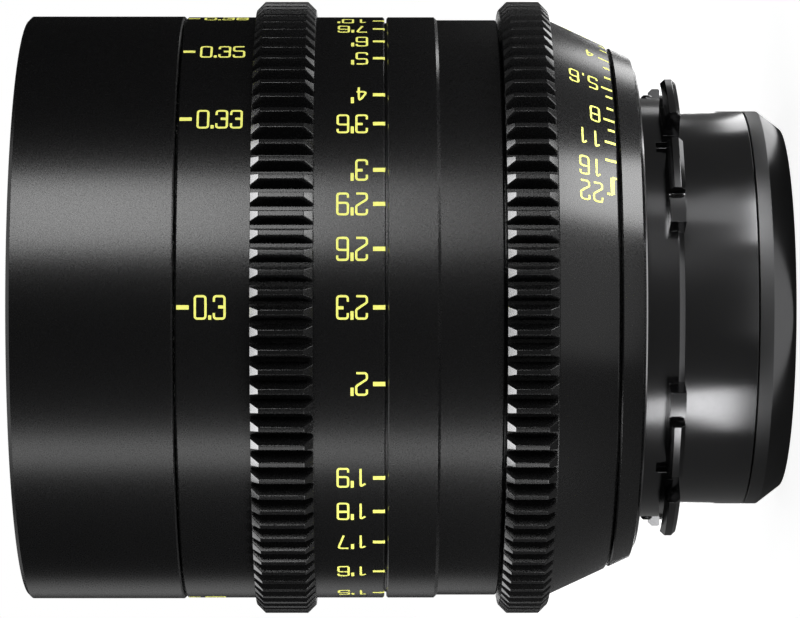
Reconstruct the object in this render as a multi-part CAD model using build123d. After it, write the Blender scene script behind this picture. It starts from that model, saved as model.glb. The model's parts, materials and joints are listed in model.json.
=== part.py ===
from build123d import *
from math import asin, copysign, cos, degrees, pi, radians, sin, sqrt, tan
import os

# Prime lens for a cinema camera, front up, in millimetres.
# The origin is the centre of the mount's seating face, and the optical axis is +Z.
# Angles are counted about the optical axis from the side that the scales face, -Y.
SCALE_SIDE = -90.0

# Clearances and seams
cut_overrun = 1.0
running_gap = 0.2
bearing_gap = 0.08
thread_gap = 0.05
seam = 0.3
fine_seam = 0.25
iris_seam = 0.35
stop_gap_angle = 0.6

# Outside of the barrel, from the mount to the front
barrel_radius = 40.0
rear_step_inset = 0.5
focus_ring_inset = 0.1
step_chamfer = 0.4
edge_break = 0.2
focus_front_chamfer = 0.4
front_rear_chamfer = 0.5
rear_face_z = 5.25
trim_corner_rise = 0.6
trim_length = 3.45
iris_cone_length = 8.2
iris_ring_length = 14.95
mid_rear_length = 8.85
mid_front_length = 6.45
focus_ring_length = 27.45
front_barrel_length = 21.35
front_edge_chamfer = 0.5
trim_rear_radius = 33.2
trim_corner_radius = 34.4
trim_front_radius = 35.7

# Walls of the barrel, from the outside inwards
ring_wall = 3.5
cam_wall = 2.8
guide_wall = 2.3
guide_shoulder = 1.0

# Gear rings
gear_module = 0.8
gear_tip_rise = 2.0
gear_dedendum_share = 1.25
pressure_angle = 20.0
gear_chamfer = 1.3
focus_gear_width = 8.1
focus_gear_setback = 9.8
iris_gear_width = 6.6

# Mount: four bayonet ears on a neck, and the cylinder that enters the camera
mount_radius = 27.0
mount_wall = 2.5
mount_barrel_length = 9.7
neck_radius = 28.8
ear_radius = 32.8
ear_thickness = 2.1
ear_chamfer = 0.6
ear_count = 4
ear_span = 49.5
ear_first_angle = 45.0
ear_end_span = 6.0
ear_relief_span = 2.3
ear_relief_depth = 1.6
seat_chamfer = 0.8
key_width = 5.2
key_shift_angle = 2.6
neck_slot_width = 2.0
neck_slot_depth = 1.0
neck_slot_rise = 1.1
mount_shoulder_width = 4.0
mount_shoulder_rise = 2.4
shim_thickness = 0.3
shim_inset = 0.9
mount_screw_count = 6
mount_screw_radius = 1.0
mount_screw_head_radius = 1.6
mount_screw_head_height = 1.2
mount_screw_reach = 2.2
hex_socket_radius = 0.8
hex_socket_depth = 0.7
button_count = 2
button_radius = 0.8
button_face_radius = 0.45
button_height = 0.45
button_depth = 1.2
button_gap = 0.15

# Rear ring: the chamfered edge that guards the rear glass
rear_ring_seam = 0.2
rear_ring_barrel = 1.85
rear_ring_chamfer_length = 3.15
rear_ring_edge_radius = 24.6
rear_ring_lip = 1.6
rear_ring_spigot = 3.5
rear_ring_mouth_radius = 20.5

# Main barrel
plate_thickness = 3.15
iris_seat_rise = 6.6
main_front_reach = 3.6
guide_slot_count = 3
guide_first_angle = 30.0

# Focus travel
focus_travel = 7.5
focus_turn_to_infinity = 8.0
focus_turn_to_close = 272.0
roller_radius = 1.0
roller_gap = 0.06
roller_bore_radius = 0.6
roller_flush_gap = 0.25
roller_setback = 13.5
cam_tube_length = 24.0
cam_tube_setback = 1.6
cam_screw_count = 3
cam_screw_radius = 0.9
cam_screw_reach = 2.3
cam_screw_setback = 1.9

# Iris
blade_count = 9
iris_open_radius = 12.6
iris_closed_radius = 1.1
iris_turn_to_open = 19.0
iris_turn_to_closed = 65.0
blade_thickness = 0.12
blade_pitch = 0.2
blade_width = 8.2
blade_tail_angle = 6.0
blade_tip_angle = 148.0
pivot_inset = 5.5
pivot_pin_radius = 0.5
pivot_eye_radius = 1.15
drive_pin_radius = 0.45
drive_pin_gap = 0.15
drive_pin_inset = 2.0
drive_pin_lever = 8.0
blade_side_gap = 0.25
actuator_thickness = 1.2
actuator_skirt = 2.9
actuator_lift = 0.15
iris_plate_thickness = 1.4
iris_plate_lip = 0.6
iris_lock_width = 3.0
iris_lock_height = 1.6
iris_pin_radius = 1.0
iris_pin_rise = 1.8
iris_pin_angle = 200.0
iris_pin_bite = 2.0
iris_land_length = 4.6

# Middle barrel
spigot_length = 8.0
mid_land_length = 4.0
spigot_screw_count = 3
spigot_screw_radius = 0.9
spigot_screw_rise = 3.4

# Front barrel and front glass
filter_wall = 1.8
filter_depth = 4.4
front_cell_wall = 3.2
front_cell_flange = 1.8
front_cell_spigot = 5.6
front_glass_seat = 3.4
front_glass_rim = 3.2
front_glass_front_sag = 4.2
front_glass_rear_sag = 3.2
front_lock_height = 1.8
front_lock_width = 1.6
guard_ring_thickness = 1.0
guard_ring_rise = 1.6
second_glass_inset = 5.5
second_glass_rim = 1.6
second_glass_front_sag = 1.0
second_glass_rear_sag = 3.4
glass_land = 1.7
glass_seat_width = 1.2
glass_gap = 0.05
lock_ring_height = 1.2
lock_ring_width = 1.6
spanner_slot_width = 1.0
spanner_slot_depth = 0.6

# Focusing group
focus_cell_length = 26.0
focus_cell_setback = 9.7
focus_land_length = 5.0
focus_relief = 0.8
focus_glass_inset = 8.0
focus_glass_seat = 9.0
focus_crown_rim = 2.2
focus_flint_rim = 3.0
focus_outer_sag = 2.4
focus_cement_sag = 3.0
focus_rear_sag = 1.4
focus_stop_inset = 12.0
focus_stop_rim = 2.0
focus_stop_front_sag = 1.6
focus_stop_rear_sag = 0.8
focus_stop_seat = 3.0

# Rear group
rear_cell_wall = 2.2
rear_cell_front_reach = 7.8
rear_cell_rear_reach = 11.2
rear_collar_front = 0.9
rear_collar_length = 5.0
rear_collar_gap = 0.2
rear_glass_seat = 3.2
rear_crown_rim = 2.4
rear_flint_rim = 2.6
rear_spacer_length = 5.6
rear_last_rim = 2.4
rear_outer_sag = 1.8
rear_cement_sag = 2.4
rear_flint_sag = 1.2
rear_last_front_sag = 2.6
rear_last_rear_sag = 0.6
spacer_wall = 1.0

# Seating rings between the turning rings and the barrel
glide_width = 1.8

# Heights along the optical axis
trim_front_z = rear_face_z + trim_length
iris_rear_z = trim_front_z + iris_seam
iris_front_z = trim_front_z + iris_ring_length
iris_gear_rear_z = iris_front_z - iris_gear_width
mid_rear_z = iris_front_z + seam
step_z = iris_front_z + mid_rear_length
mid_front_z = step_z + mid_front_length
focus_rear_z = mid_front_z + seam
focus_front_z = mid_front_z + focus_ring_length - fine_seam
focus_gear_front_z = mid_front_z + focus_ring_length - focus_gear_setback
focus_gear_rear_z = focus_gear_front_z - focus_gear_width
front_rear_z = mid_front_z + focus_ring_length
front_rim_z = front_rear_z + front_barrel_length
main_front_z = front_rear_z + main_front_reach
plate_front_z = rear_face_z + plate_thickness
iris_seat_z = plate_front_z + iris_seat_rise
mount_rear_z = -mount_barrel_length
rear_ring_front_z = mount_rear_z - rear_ring_seam
rear_corner_z = rear_ring_front_z - rear_ring_barrel
rear_rim_z = rear_corner_z - rear_ring_chamfer_length
mount_front_z = rear_face_z - shim_thickness
shoulder_z = min(mount_shoulder_rise, mount_front_z - shim_thickness)

# Radii, from the outside inwards
cam_outer = barrel_radius - ring_wall - running_gap
cam_inner = cam_outer - cam_wall
guide_outer = cam_inner - running_gap
guide_inner = guide_outer - guide_wall
iris_bore = guide_inner - guide_shoulder
carrier_radius = guide_inner - running_gap
spigot_outer = barrel_radius - ring_wall
ring_inner = spigot_outer + running_gap
mount_bore = mount_radius - mount_wall
shoulder_bore = mount_bore - mount_shoulder_width
plate_outer = trim_rear_radius - rear_step_inset - guide_shoulder
gear_teeth = round(2 * (barrel_radius + gear_tip_rise) / gear_module) - 2

# Travel of the rollers
focus_turn_total = focus_turn_to_infinity + focus_turn_to_close
travel_per_degree = focus_travel / focus_turn_total
roller_z = front_rear_z - roller_setback
roller_low_z = roller_z - travel_per_degree * focus_turn_to_infinity
roller_high_z = roller_z + travel_per_degree * focus_turn_to_close
roller_slot_radius = roller_radius + roller_gap

# Swing of the iris blades
actuator_outer = iris_bore - running_gap
pivot_radius = guide_inner - pivot_inset
iris_turn_total = iris_turn_to_open + iris_turn_to_closed
blade_swing = degrees(2 * asin((iris_open_radius - iris_closed_radius) / (2 * pivot_radius)))
rest_swing = blade_swing * iris_turn_to_open / iris_turn_total
blade_outer = iris_open_radius + blade_width
actuator_rear_z = plate_front_z + actuator_lift
actuator_disc_z = actuator_rear_z + actuator_skirt
actuator_front_z = actuator_disc_z + actuator_thickness
first_blade_z = actuator_front_z + blade_side_gap
last_blade_z = first_blade_z + (blade_count - 1) * blade_pitch + blade_thickness
iris_plate_z = max(iris_seat_z, last_blade_z + blade_side_gap)
iris_plate_front_z = iris_plate_z + iris_plate_thickness
iris_pin_z = plate_front_z + iris_pin_rise

# Small fixings
button_z = ear_thickness + button_radius + button_gap
spigot_screw_z = mid_rear_z - spigot_length + spigot_screw_rise

# Cam tube and focusing cell
cam_front_z = focus_front_z - cam_tube_setback
cam_rear_z = cam_front_z - cam_tube_length
cam_screw_z = cam_front_z - cam_screw_setback
focus_cell_front_z = front_rear_z - focus_cell_setback
focus_cell_rear_z = focus_cell_front_z - focus_cell_length
roller_root_radius = carrier_radius - focus_glass_inset / 2
roller_tip_radius = cam_outer - roller_flush_gap

# Front cell and front glass
front_bore = barrel_radius - filter_wall
front_cell_outer = front_bore - filter_wall / 2
front_cell_bore = front_cell_outer - front_cell_wall
front_glass_rear_z = main_front_z + front_cell_flange + front_glass_seat
front_glass_front_z = front_glass_rear_z + front_glass_rim
front_cell_front_z = front_glass_front_z + front_lock_height

# Rear cell and rear glasses
rear_cell_outer = shoulder_bore - thread_gap
rear_glass_radius = rear_cell_outer - rear_cell_wall
rear_cell_front_z = rear_cell_front_reach
rear_cell_rear_z = -rear_cell_rear_reach
rear_crown_front_z = rear_cell_front_z - rear_glass_seat
rear_crown_rear_z = rear_crown_front_z - rear_crown_rim
rear_flint_rear_z = rear_crown_rear_z - rear_flint_rim
rear_last_front_z = rear_flint_rear_z - rear_spacer_length
rear_last_rear_z = rear_last_front_z - rear_last_rim


def revolved(outline, turn=360.0):
    """Turn a closed outline of (radius, height) points about the optical axis."""
    points = [(radius, 0, height) for radius, height in outline]
    face = make_face(Polyline(*points, close=True))
    return revolve(face, Axis.Z, turn)


def tube(outer, inner, low, high):
    """A plain ring between two radii and two heights."""
    return revolved([(inner, low), (outer, low), (outer, high), (inner, high)])


def radial(angle, inner, height):
    """A place on the barrel whose own Z points outwards from the axis."""
    direction = Vector(cos(radians(angle)), sin(radians(angle)), 0)
    return Plane(origin=direction * inner + Vector(0, 0, height), x_dir=(0, 0, 1), z_dir=direction)


def radial_pin(radius, angle, inner, outer, height):
    """A round pin that stands outwards from one radius to another."""
    return extrude(radial(angle, inner, height) * Circle(radius), amount=outer - inner)


def ring_angles(count, first=0.0):
    """Evenly spaced angles about the axis."""
    return [first + 360.0 * index / count for index in range(count)]


def around(shape, angle):
    """A copy of a shape turned about the optical axis."""
    return Rot(0, 0, angle) * shape


def glass(radius, rear_rim, front_rim, rear_sag, front_sag):
    """A lens element with a flat rim; a positive sag puts a surface's vertex ahead of that rim."""
    clear = radius - glass_land
    rear_line = surface(rear_rim + rear_sag, -rear_sag, clear)
    front_line = surface(front_rim + front_sag, -front_sag, clear)
    rim = Polyline((clear, 0, rear_rim), (radius, 0, rear_rim), (radius, 0, front_rim), (clear, 0, front_rim))
    axis = Line((0, 0, rear_rim + rear_sag), (0, 0, front_rim + front_sag))
    return revolve(make_face([rear_line, rim, front_line, axis]), Axis.Z)


def surface(vertex, drop, radius):
    """Half of a spherical surface, from its vertex on the axis to its rim."""
    ball = (radius**2 + drop**2) / (2 * drop)
    middle_drop = ball - copysign(sqrt(ball**2 - (radius / 2) ** 2), ball)
    middle = (radius / 2, 0, vertex + middle_drop)
    return ThreePointArc((0, 0, vertex), middle, (radius, 0, vertex + drop))


def lock_ring(outer, inner, low, high):
    """A threaded ring with two spanner slots in its front face."""
    ring = tube(outer, inner, low, high)
    slots = Box(2 * outer + cut_overrun, spanner_slot_width, 2 * spanner_slot_depth)
    return ring - Pos(0, 0, high) * slots


def gear_outline():
    """The outline of a gear ring with straight flanks at the pressure angle."""
    pitch_radius = gear_module * gear_teeth / 2
    tip = pitch_radius + gear_module
    root = pitch_radius - gear_dedendum_share * gear_module
    lean = tan(radians(pressure_angle))
    half_tip = (pi * gear_module / 4 - gear_module * lean) / tip
    half_root = (pi * gear_module / 4 + gear_dedendum_share * gear_module * lean) / root
    points = []
    for index in range(gear_teeth):
        middle = 2 * pi * index / gear_teeth
        for radius, offset in ((root, -half_root), (tip, -half_tip), (tip, half_tip), (root, half_root)):
            points.append((radius * cos(middle + offset), radius * sin(middle + offset)))
    return make_face(Polyline(*points, close=True))


def gear_band(inner, low, high):
    """A band of teeth whose two ends are chamfered all round."""
    tip = gear_module * gear_teeth / 2 + gear_module
    rough = Pos(0, 0, low) * extrude(gear_outline(), amount=high - low)
    blank = revolved(
        [
            (inner, low),
            (tip - gear_chamfer, low),
            (tip, low + gear_chamfer),
            (tip, high - gear_chamfer),
            (tip - gear_chamfer, high),
            (inner, high),
        ]
    )
    return rough & blank


def make_mount():
    """The stainless mount: flange with four ears, neck, and the locating cylinder."""
    body = revolved(
        [
            (mount_bore, mount_rear_z),
            (mount_radius, mount_rear_z),
            (mount_radius, 0),
            (neck_radius - seat_chamfer, 0),
            (neck_radius, seat_chamfer),
            (neck_radius, mount_front_z),
            (shoulder_bore, mount_front_z),
            (shoulder_bore, shoulder_z),
            (mount_bore, shoulder_z),
        ]
    )
    for index, angle in enumerate(ring_angles(ear_count, ear_first_angle)):
        side = 1 if index % 2 == 0 else -1
        body += around(ear(side), angle)
        body -= around(neck_slot(), angle - side * key_shift_angle)
    for angle in ring_angles(button_count, SCALE_SIDE + 90):
        body -= radial_pin(button_radius, angle, neck_radius - button_depth, neck_radius + cut_overrun, button_z)
    for x, y in mount_screw_places():
        body -= Pos(x, y, 0) * Cylinder(mount_screw_radius + thread_gap, 2 * mount_front_z + cut_overrun)
    return body


def ear(side):
    """One bayonet ear, centred on the +X side, with its lower end and relief slot towards one side."""
    outline = [
        (mount_radius - thread_gap, 0),
        (ear_radius - ear_chamfer, 0),
        (ear_radius, ear_chamfer),
        (ear_radius, ear_thickness - ear_chamfer),
        (ear_radius - ear_chamfer, ear_thickness),
        (mount_radius - thread_gap, ear_thickness),
    ]
    whole = around(revolved(outline, ear_span), -ear_span / 2)
    end = ear_span / 2 + cut_overrun
    end_start = ear_span / 2 - ear_end_span
    whole -= ear_cut(side, end_start, end, ear_chamfer)
    whole -= ear_cut(side, end_start - ear_relief_span, end_start, ear_relief_depth)
    return whole - around(slot_block(key_width, mount_bore, ear_thickness + cut_overrun), -side * key_shift_angle)


def ear_cut(side, near, far, depth):
    """What an ear loses between two angles from its middle, on one side, down to a depth."""
    inner, outer = ear_radius - depth, ear_radius + cut_overrun
    low, high = -cut_overrun, ear_thickness + cut_overrun
    ring = revolved([(inner, low), (outer, low), (outer, high), (inner, high)], far - near)
    return around(ring, near if side > 0 else -far)


def slot_block(width, inner, high):
    """A block on the +X side that cuts from outside down to a radius, and from behind up to a height."""
    length = ear_radius + cut_overrun - inner
    block = Box(length, width, high + cut_overrun, align=(Align.MIN, Align.CENTER, Align.MIN))
    return Pos(inner, 0, -cut_overrun) * block


def neck_slot():
    """The narrow slot that runs through the keyway and a little way up the neck."""
    return slot_block(neck_slot_width, neck_radius - neck_slot_depth, ear_thickness + neck_slot_rise)


def make_buttons():
    """Two small chamfered heads at the top and the bottom of the neck."""
    plane = radial(0, neck_radius - button_depth, button_z)
    shank = extrude(plane * Circle(button_radius), amount=button_depth)
    head_plane = radial(0, neck_radius, button_z)
    head = extrude(head_plane * Circle(button_radius), amount=button_height)
    head = chamfer(head.edges().sort_by(Axis.X)[-1], button_radius - button_face_radius - thread_gap)
    return [around(shank + head, angle) for angle in ring_angles(button_count, SCALE_SIDE + 90)]


def mount_screw_places():
    """Centres of the screws that hold the mount to the main barrel."""
    circle = shoulder_bore + mount_shoulder_width / 2
    return [
        (circle * cos(radians(angle)), circle * sin(radians(angle)))
        for angle in ring_angles(mount_screw_count)
    ]


def make_mount_screws():
    """Cap screws with hexagon sockets, driven from behind."""
    screws = []
    head_z = shoulder_z - mount_screw_head_height
    for x, y in mount_screw_places():
        head = extrude(Plane.XY.offset(head_z) * Circle(mount_screw_head_radius), amount=mount_screw_head_height)
        tip_z = rear_face_z + mount_screw_reach
        shank = extrude(Plane.XY.offset(shoulder_z) * Circle(mount_screw_radius), amount=tip_z - shoulder_z)
        socket = extrude(Plane.XY.offset(head_z) * RegularPolygon(hex_socket_radius, 6), amount=hex_socket_depth)
        screws.append(Pos(x, y, 0) * (head + shank - socket))
    return screws


def make_shim():
    """The thin ring that sets the distance from the mount to the film plane."""
    shim = tube(neck_radius - shim_inset, shoulder_bore, mount_front_z, rear_face_z)
    for x, y in mount_screw_places():
        shim -= Pos(x, y, mount_front_z) * Cylinder(mount_screw_radius + thread_gap, 2 * shim_thickness + cut_overrun)
    return shim


def make_rear_ring():
    """The chamfered ring behind the mount, screwed into its bore."""
    spigot_outer_radius = mount_bore - thread_gap
    return revolved(
        [
            (rear_ring_mouth_radius, rear_rim_z + rear_ring_lip),
            (rear_ring_edge_radius - rear_ring_lip, rear_rim_z),
            (rear_ring_edge_radius, rear_rim_z),
            (mount_radius, rear_corner_z),
            (mount_radius, rear_ring_front_z),
            (spigot_outer_radius, rear_ring_front_z),
            (spigot_outer_radius, rear_ring_front_z + rear_ring_spigot),
            (mount_bore - mount_wall, rear_ring_front_z + rear_ring_spigot),
            (mount_bore - mount_wall, rear_ring_front_z),
            (rear_ring_mouth_radius, rear_ring_front_z - rear_ring_barrel),
        ]
    )


def make_trim_ring():
    """The conical ring at the back of the barrel."""
    slope = (trim_front_radius - trim_corner_radius) / (trim_length - trim_corner_rise)
    return revolved(
        [
            (plate_outer, rear_face_z),
            (trim_rear_radius, rear_face_z),
            (trim_corner_radius, rear_face_z + trim_corner_rise),
            (trim_front_radius - slope * edge_break, trim_front_z - edge_break),
            (trim_front_radius - edge_break, trim_front_z),
            (plate_outer, trim_front_z),
        ]
    )


def make_main_barrel():
    """The fixed tube that carries everything, with its three straight guide slots."""
    body = revolved(
        [
            (shoulder_bore, rear_face_z),
            (plate_outer, rear_face_z),
            (plate_outer, trim_front_z),
            (guide_outer, trim_front_z),
            (guide_outer, main_front_z),
            (guide_inner, main_front_z),
            (guide_inner, iris_plate_z),
            (iris_bore, iris_plate_z),
            (iris_bore, plate_front_z),
            (shoulder_bore, plate_front_z),
        ]
    )
    slot = SlotCenterToCenter(focus_travel, 2 * roller_slot_radius)
    middle_z = (roller_low_z + roller_high_z) / 2
    for angle in ring_angles(guide_slot_count, guide_first_angle):
        body -= extrude(radial(angle, guide_inner - cut_overrun, middle_z) * slot, amount=guide_wall + 2 * cut_overrun)
    body -= iris_pin_slot()
    for x, y in mount_screw_places():
        depth = mount_screw_reach + thread_gap
        hole = Cylinder(mount_screw_radius, depth, align=(Align.CENTER, Align.CENTER, Align.MIN))
        body -= Pos(x, y, rear_face_z) * hole
    return body


def iris_pin_slot():
    """The slot that the iris ring's pin passes through; its ends stop the ring."""
    low = iris_pin_z - iris_pin_radius - running_gap / 2
    high = iris_pin_z + iris_pin_radius + running_gap / 2
    inner = iris_bore - cut_overrun
    outer = guide_outer + cut_overrun
    turn = iris_turn_total + 2 * stop_gap_angle
    start = iris_pin_angle - iris_turn_to_open - stop_gap_angle
    channel = around(revolved([(inner, low), (outer, low), (outer, high), (inner, high)], turn), start)
    for angle in (start, start + turn):
        channel += radial_pin((high - low) / 2, angle, inner, outer, iris_pin_z)
    return channel


def make_iris_ring():
    """The iris ring: its cone carries the stop scale and its gear takes a motor."""
    rear_land_z = iris_rear_z + iris_land_length
    cone_front_z = trim_front_z + iris_cone_length
    cone_slope = (barrel_radius - rear_step_inset - trim_front_radius) / iris_cone_length
    rear_radius = trim_front_radius + cone_slope * iris_seam
    body = revolved(
        [
            (guide_outer + bearing_gap, iris_rear_z),
            (rear_radius - edge_break, iris_rear_z),
            (rear_radius + cone_slope * edge_break, iris_rear_z + edge_break),
            (barrel_radius - rear_step_inset, cone_front_z),
            (barrel_radius - rear_step_inset, iris_front_z),
            (ring_inner, iris_front_z),
            (ring_inner, rear_land_z),
            (guide_outer + bearing_gap, rear_land_z),
        ]
    )
    body += gear_band(barrel_radius - ring_wall / 2, iris_gear_rear_z, iris_front_z)
    body -= radial_pin(
        iris_pin_radius, iris_pin_angle, guide_outer - cut_overrun, guide_outer + bearing_gap + iris_pin_bite, iris_pin_z
    )
    return body


def make_iris_pin():
    """The pin that carries the iris ring's turn to the actuator inside."""
    inner = actuator_outer - iris_pin_bite
    outer = guide_outer + bearing_gap + iris_pin_bite
    return radial_pin(iris_pin_radius, iris_pin_angle, inner, outer, iris_pin_z)


def pivot_point():
    """Where a blade turns, with that blade on the +X side."""
    return Vector(pivot_radius, 0, 0)


def drive_point(swing):
    """Where the blade's drive pin is when the blade has swung by an angle from open."""
    arm = Vector(-drive_pin_inset, -drive_pin_lever, 0)
    return pivot_point() + arm.rotate(Axis.Z, swing)


def slot_point(share):
    """The same pin seen from the actuator, at a share of the ring's whole turn."""
    return drive_point(blade_swing * share).rotate(Axis.Z, -iris_turn_total * share)


def make_actuator():
    """The ring inside the barrel whose curved slots swing the blades."""
    skirt_inner = actuator_outer - iris_pin_bite - running_gap
    body = revolved(
        [
            (skirt_inner, actuator_rear_z),
            (actuator_outer, actuator_rear_z),
            (actuator_outer, actuator_front_z),
            (iris_open_radius + iris_plate_lip, actuator_front_z),
            (iris_open_radius + iris_plate_lip, actuator_disc_z),
            (skirt_inner, actuator_disc_z),
        ]
    )
    early, late = -stop_gap_angle / iris_turn_total, 1 + stop_gap_angle / iris_turn_total
    path = ThreePointArc(slot_point(early), slot_point((early + late) / 2), slot_point(late))
    slot = SlotArc(path, 2 * (drive_pin_radius + drive_pin_gap))
    cutter = extrude(Plane.XY.offset(actuator_disc_z) * slot, amount=actuator_thickness + cut_overrun)
    for angle in ring_angles(blade_count):
        body -= around(cutter, angle + iris_turn_to_open)
    body -= radial_pin(iris_pin_radius, iris_pin_angle, skirt_inner - cut_overrun, guide_outer, iris_pin_z)
    return body


def make_blade(index):
    """One crescent of the iris at rest, with its pivot pin ahead and its drive pin behind."""
    low = first_blade_z + index * blade_pitch
    crescent = Circle(blade_outer) - Circle(iris_open_radius)
    crescent &= blade_sector()
    tip_radius = (blade_outer - iris_open_radius) / 2
    tip_middle = Vector(iris_open_radius + tip_radius, 0, 0).rotate(Axis.Z, blade_tip_angle)
    crescent += Pos(tip_middle.X, tip_middle.Y) * Circle(tip_radius)
    pivot, drive = pivot_point(), drive_point(0)
    foot = Vector(blade_outer - pivot_eye_radius, 0, 0).rotate(Axis.Z, -blade_tail_angle)
    eye = make_hull(
        (
            Pos(pivot.X, pivot.Y) * Circle(pivot_eye_radius)
            + Pos(drive.X, drive.Y) * Circle(pivot_eye_radius - thread_gap)
            + Pos(foot.X, foot.Y) * Circle(pivot_eye_radius + thread_gap)
        ).edges()
    )
    sheet = extrude(Plane.XY.offset(low) * (crescent + eye), amount=blade_thickness)
    pin_top = iris_plate_front_z - thread_gap
    pivot_pin = extrude(Plane.XY.offset(low) * Pos(pivot.X, pivot.Y) * Circle(pivot_pin_radius), amount=pin_top - low)
    pin_low = actuator_disc_z + thread_gap
    pin_length = low + blade_thickness - pin_low
    drive_pin = extrude(Plane.XY.offset(pin_low) * Pos(drive.X, drive.Y) * Circle(drive_pin_radius), amount=pin_length)
    blade = sheet + pivot_pin + drive_pin
    swung = Pos(pivot.X, pivot.Y) * Rot(0, 0, rest_swing) * Pos(-pivot.X, -pivot.Y) * blade
    return around(swung, 360.0 * index / blade_count)


def blade_sector():
    """The angle that a blade's crescent covers, as a fan of straight sides."""
    reach = 2 * blade_outer
    sweep = blade_tip_angle + blade_tail_angle
    rays = [blade_tip_angle - sweep * share for share in (0, 1 / 3, 2 / 3, 1)]
    points = [(reach * cos(radians(angle)), reach * sin(radians(angle))) for angle in rays]
    return make_face(Polyline((0, 0), *points, close=True))


def make_iris_plate():
    """The fixed plate ahead of the blades, which holds their pivots."""
    plate = tube(guide_inner - thread_gap, iris_open_radius + iris_plate_lip, iris_plate_z, iris_plate_front_z)
    hole = Cylinder(pivot_pin_radius + thread_gap, 2 * iris_plate_thickness + cut_overrun)
    for angle in ring_angles(blade_count):
        plate -= around(Pos(pivot_radius, 0, iris_plate_z + iris_plate_thickness / 2) * hole, angle)
    return plate


def make_iris_lock_ring():
    """The threaded ring that holds the iris plate against its shoulder."""
    outer = guide_inner - thread_gap
    return lock_ring(outer, outer - iris_lock_width, iris_plate_front_z, iris_plate_front_z + iris_lock_height)


def make_mid_barrel():
    """The fixed sleeve between the two gear rings, with the step in its outside."""
    spigot_rear_z = mid_rear_z - spigot_length
    body = revolved(
        [
            (guide_outer, spigot_rear_z),
            (spigot_outer, spigot_rear_z),
            (spigot_outer, mid_rear_z),
            (barrel_radius - rear_step_inset - edge_break, mid_rear_z),
            (barrel_radius - rear_step_inset, mid_rear_z + edge_break),
            (barrel_radius - rear_step_inset, step_z - step_chamfer),
            (barrel_radius - focus_ring_inset, step_z),
            (barrel_radius - focus_ring_inset, mid_front_z - edge_break),
            (barrel_radius - focus_ring_inset - edge_break, mid_front_z),
            (spigot_outer, mid_front_z),
            (spigot_outer, mid_rear_z + mid_land_length),
            (guide_outer, mid_rear_z + mid_land_length),
        ]
    )
    for angle in ring_angles(spigot_screw_count, guide_first_angle):
        body -= radial_pin(
            spigot_screw_radius, angle, guide_outer - cut_overrun, spigot_outer + cut_overrun, spigot_screw_z
        )
    return body


def make_spigot_screws():
    """Grub screws that lock the middle barrel to the main barrel, under the iris ring."""
    screws = []
    length = spigot_outer - guide_outer - thread_gap
    for angle in ring_angles(spigot_screw_count, guide_first_angle):
        screw = radial_pin(spigot_screw_radius, angle, guide_outer, guide_outer + length, spigot_screw_z)
        socket_plane = radial(angle, guide_outer + length - hex_socket_depth, spigot_screw_z)
        screws.append(screw - extrude(socket_plane * RegularPolygon(hex_socket_radius / 2, 6), amount=length))
    return screws


def make_focus_ring():
    """The focus ring: two scale bands with the gear between them."""
    outer, inner = barrel_radius - focus_ring_inset, ring_inner - running_gap
    body = revolved(
        [
            (inner, focus_rear_z),
            (outer - edge_break, focus_rear_z),
            (outer, focus_rear_z + edge_break),
            (outer, focus_front_z - focus_front_chamfer),
            (outer - focus_front_chamfer, focus_front_z),
            (inner, focus_front_z),
        ]
    )
    body += gear_band(barrel_radius - ring_wall / 2, focus_gear_rear_z, focus_gear_front_z)
    for angle in ring_angles(cam_screw_count):
        body -= radial_pin(
            cam_screw_radius, angle, cam_inner, cam_outer + running_gap + cam_screw_reach, cam_screw_z
        )
    return body


def make_cam_tube():
    """The tube inside the focus ring whose three helical slots drive the rollers."""
    body = tube(cam_outer + running_gap, cam_inner, cam_rear_z, cam_front_z)
    cutter = helical_cutter()
    for angle in ring_angles(guide_slot_count, guide_first_angle):
        body -= around(cutter, angle)
    for angle in ring_angles(cam_screw_count):
        body -= radial_pin(cam_screw_radius, angle, cam_inner - cut_overrun, cam_outer + cut_overrun, cam_screw_z)
    return body


def helical_cutter():
    """One helical slot, for a roller on the +X side at rest, with round ends."""
    turn = focus_turn_total + 2 * stop_gap_angle
    rise = travel_per_degree * turn
    start_z = roller_low_z - travel_per_degree * stop_gap_angle
    middle_radius = (cam_inner + cam_outer) / 2
    path = Helix(rise * 360.0 / turn, rise, middle_radius, lefthand=True)
    plane = Plane(origin=path @ 0, x_dir=(1, 0, 0), z_dir=path % 0)
    section = plane * Rectangle(cam_wall + 2 * cut_overrun, 2 * roller_slot_radius)
    channel = sweep(section, path, is_frenet=True)
    outer, inner = cam_outer + cut_overrun, cam_inner - cut_overrun
    channel += radial_pin(roller_slot_radius, 0, inner, outer, 0)
    channel += radial_pin(roller_slot_radius, -turn, inner, outer, rise)
    return Pos(0, 0, start_z) * around(channel, focus_turn_to_infinity + stop_gap_angle)


def make_cam_screws():
    """Grub screws that lock the cam tube inside the focus ring."""
    outer = cam_outer + running_gap + cam_screw_reach
    return [
        radial_pin(cam_screw_radius, angle, cam_inner + running_gap, outer, cam_screw_z)
        for angle in ring_angles(cam_screw_count)
    ]


def make_glide_ring(low, high):
    """A thin plastic ring that a turning ring slides on."""
    inner = guide_outer + thread_gap
    return tube(inner + glide_width, inner, low, high)


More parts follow.
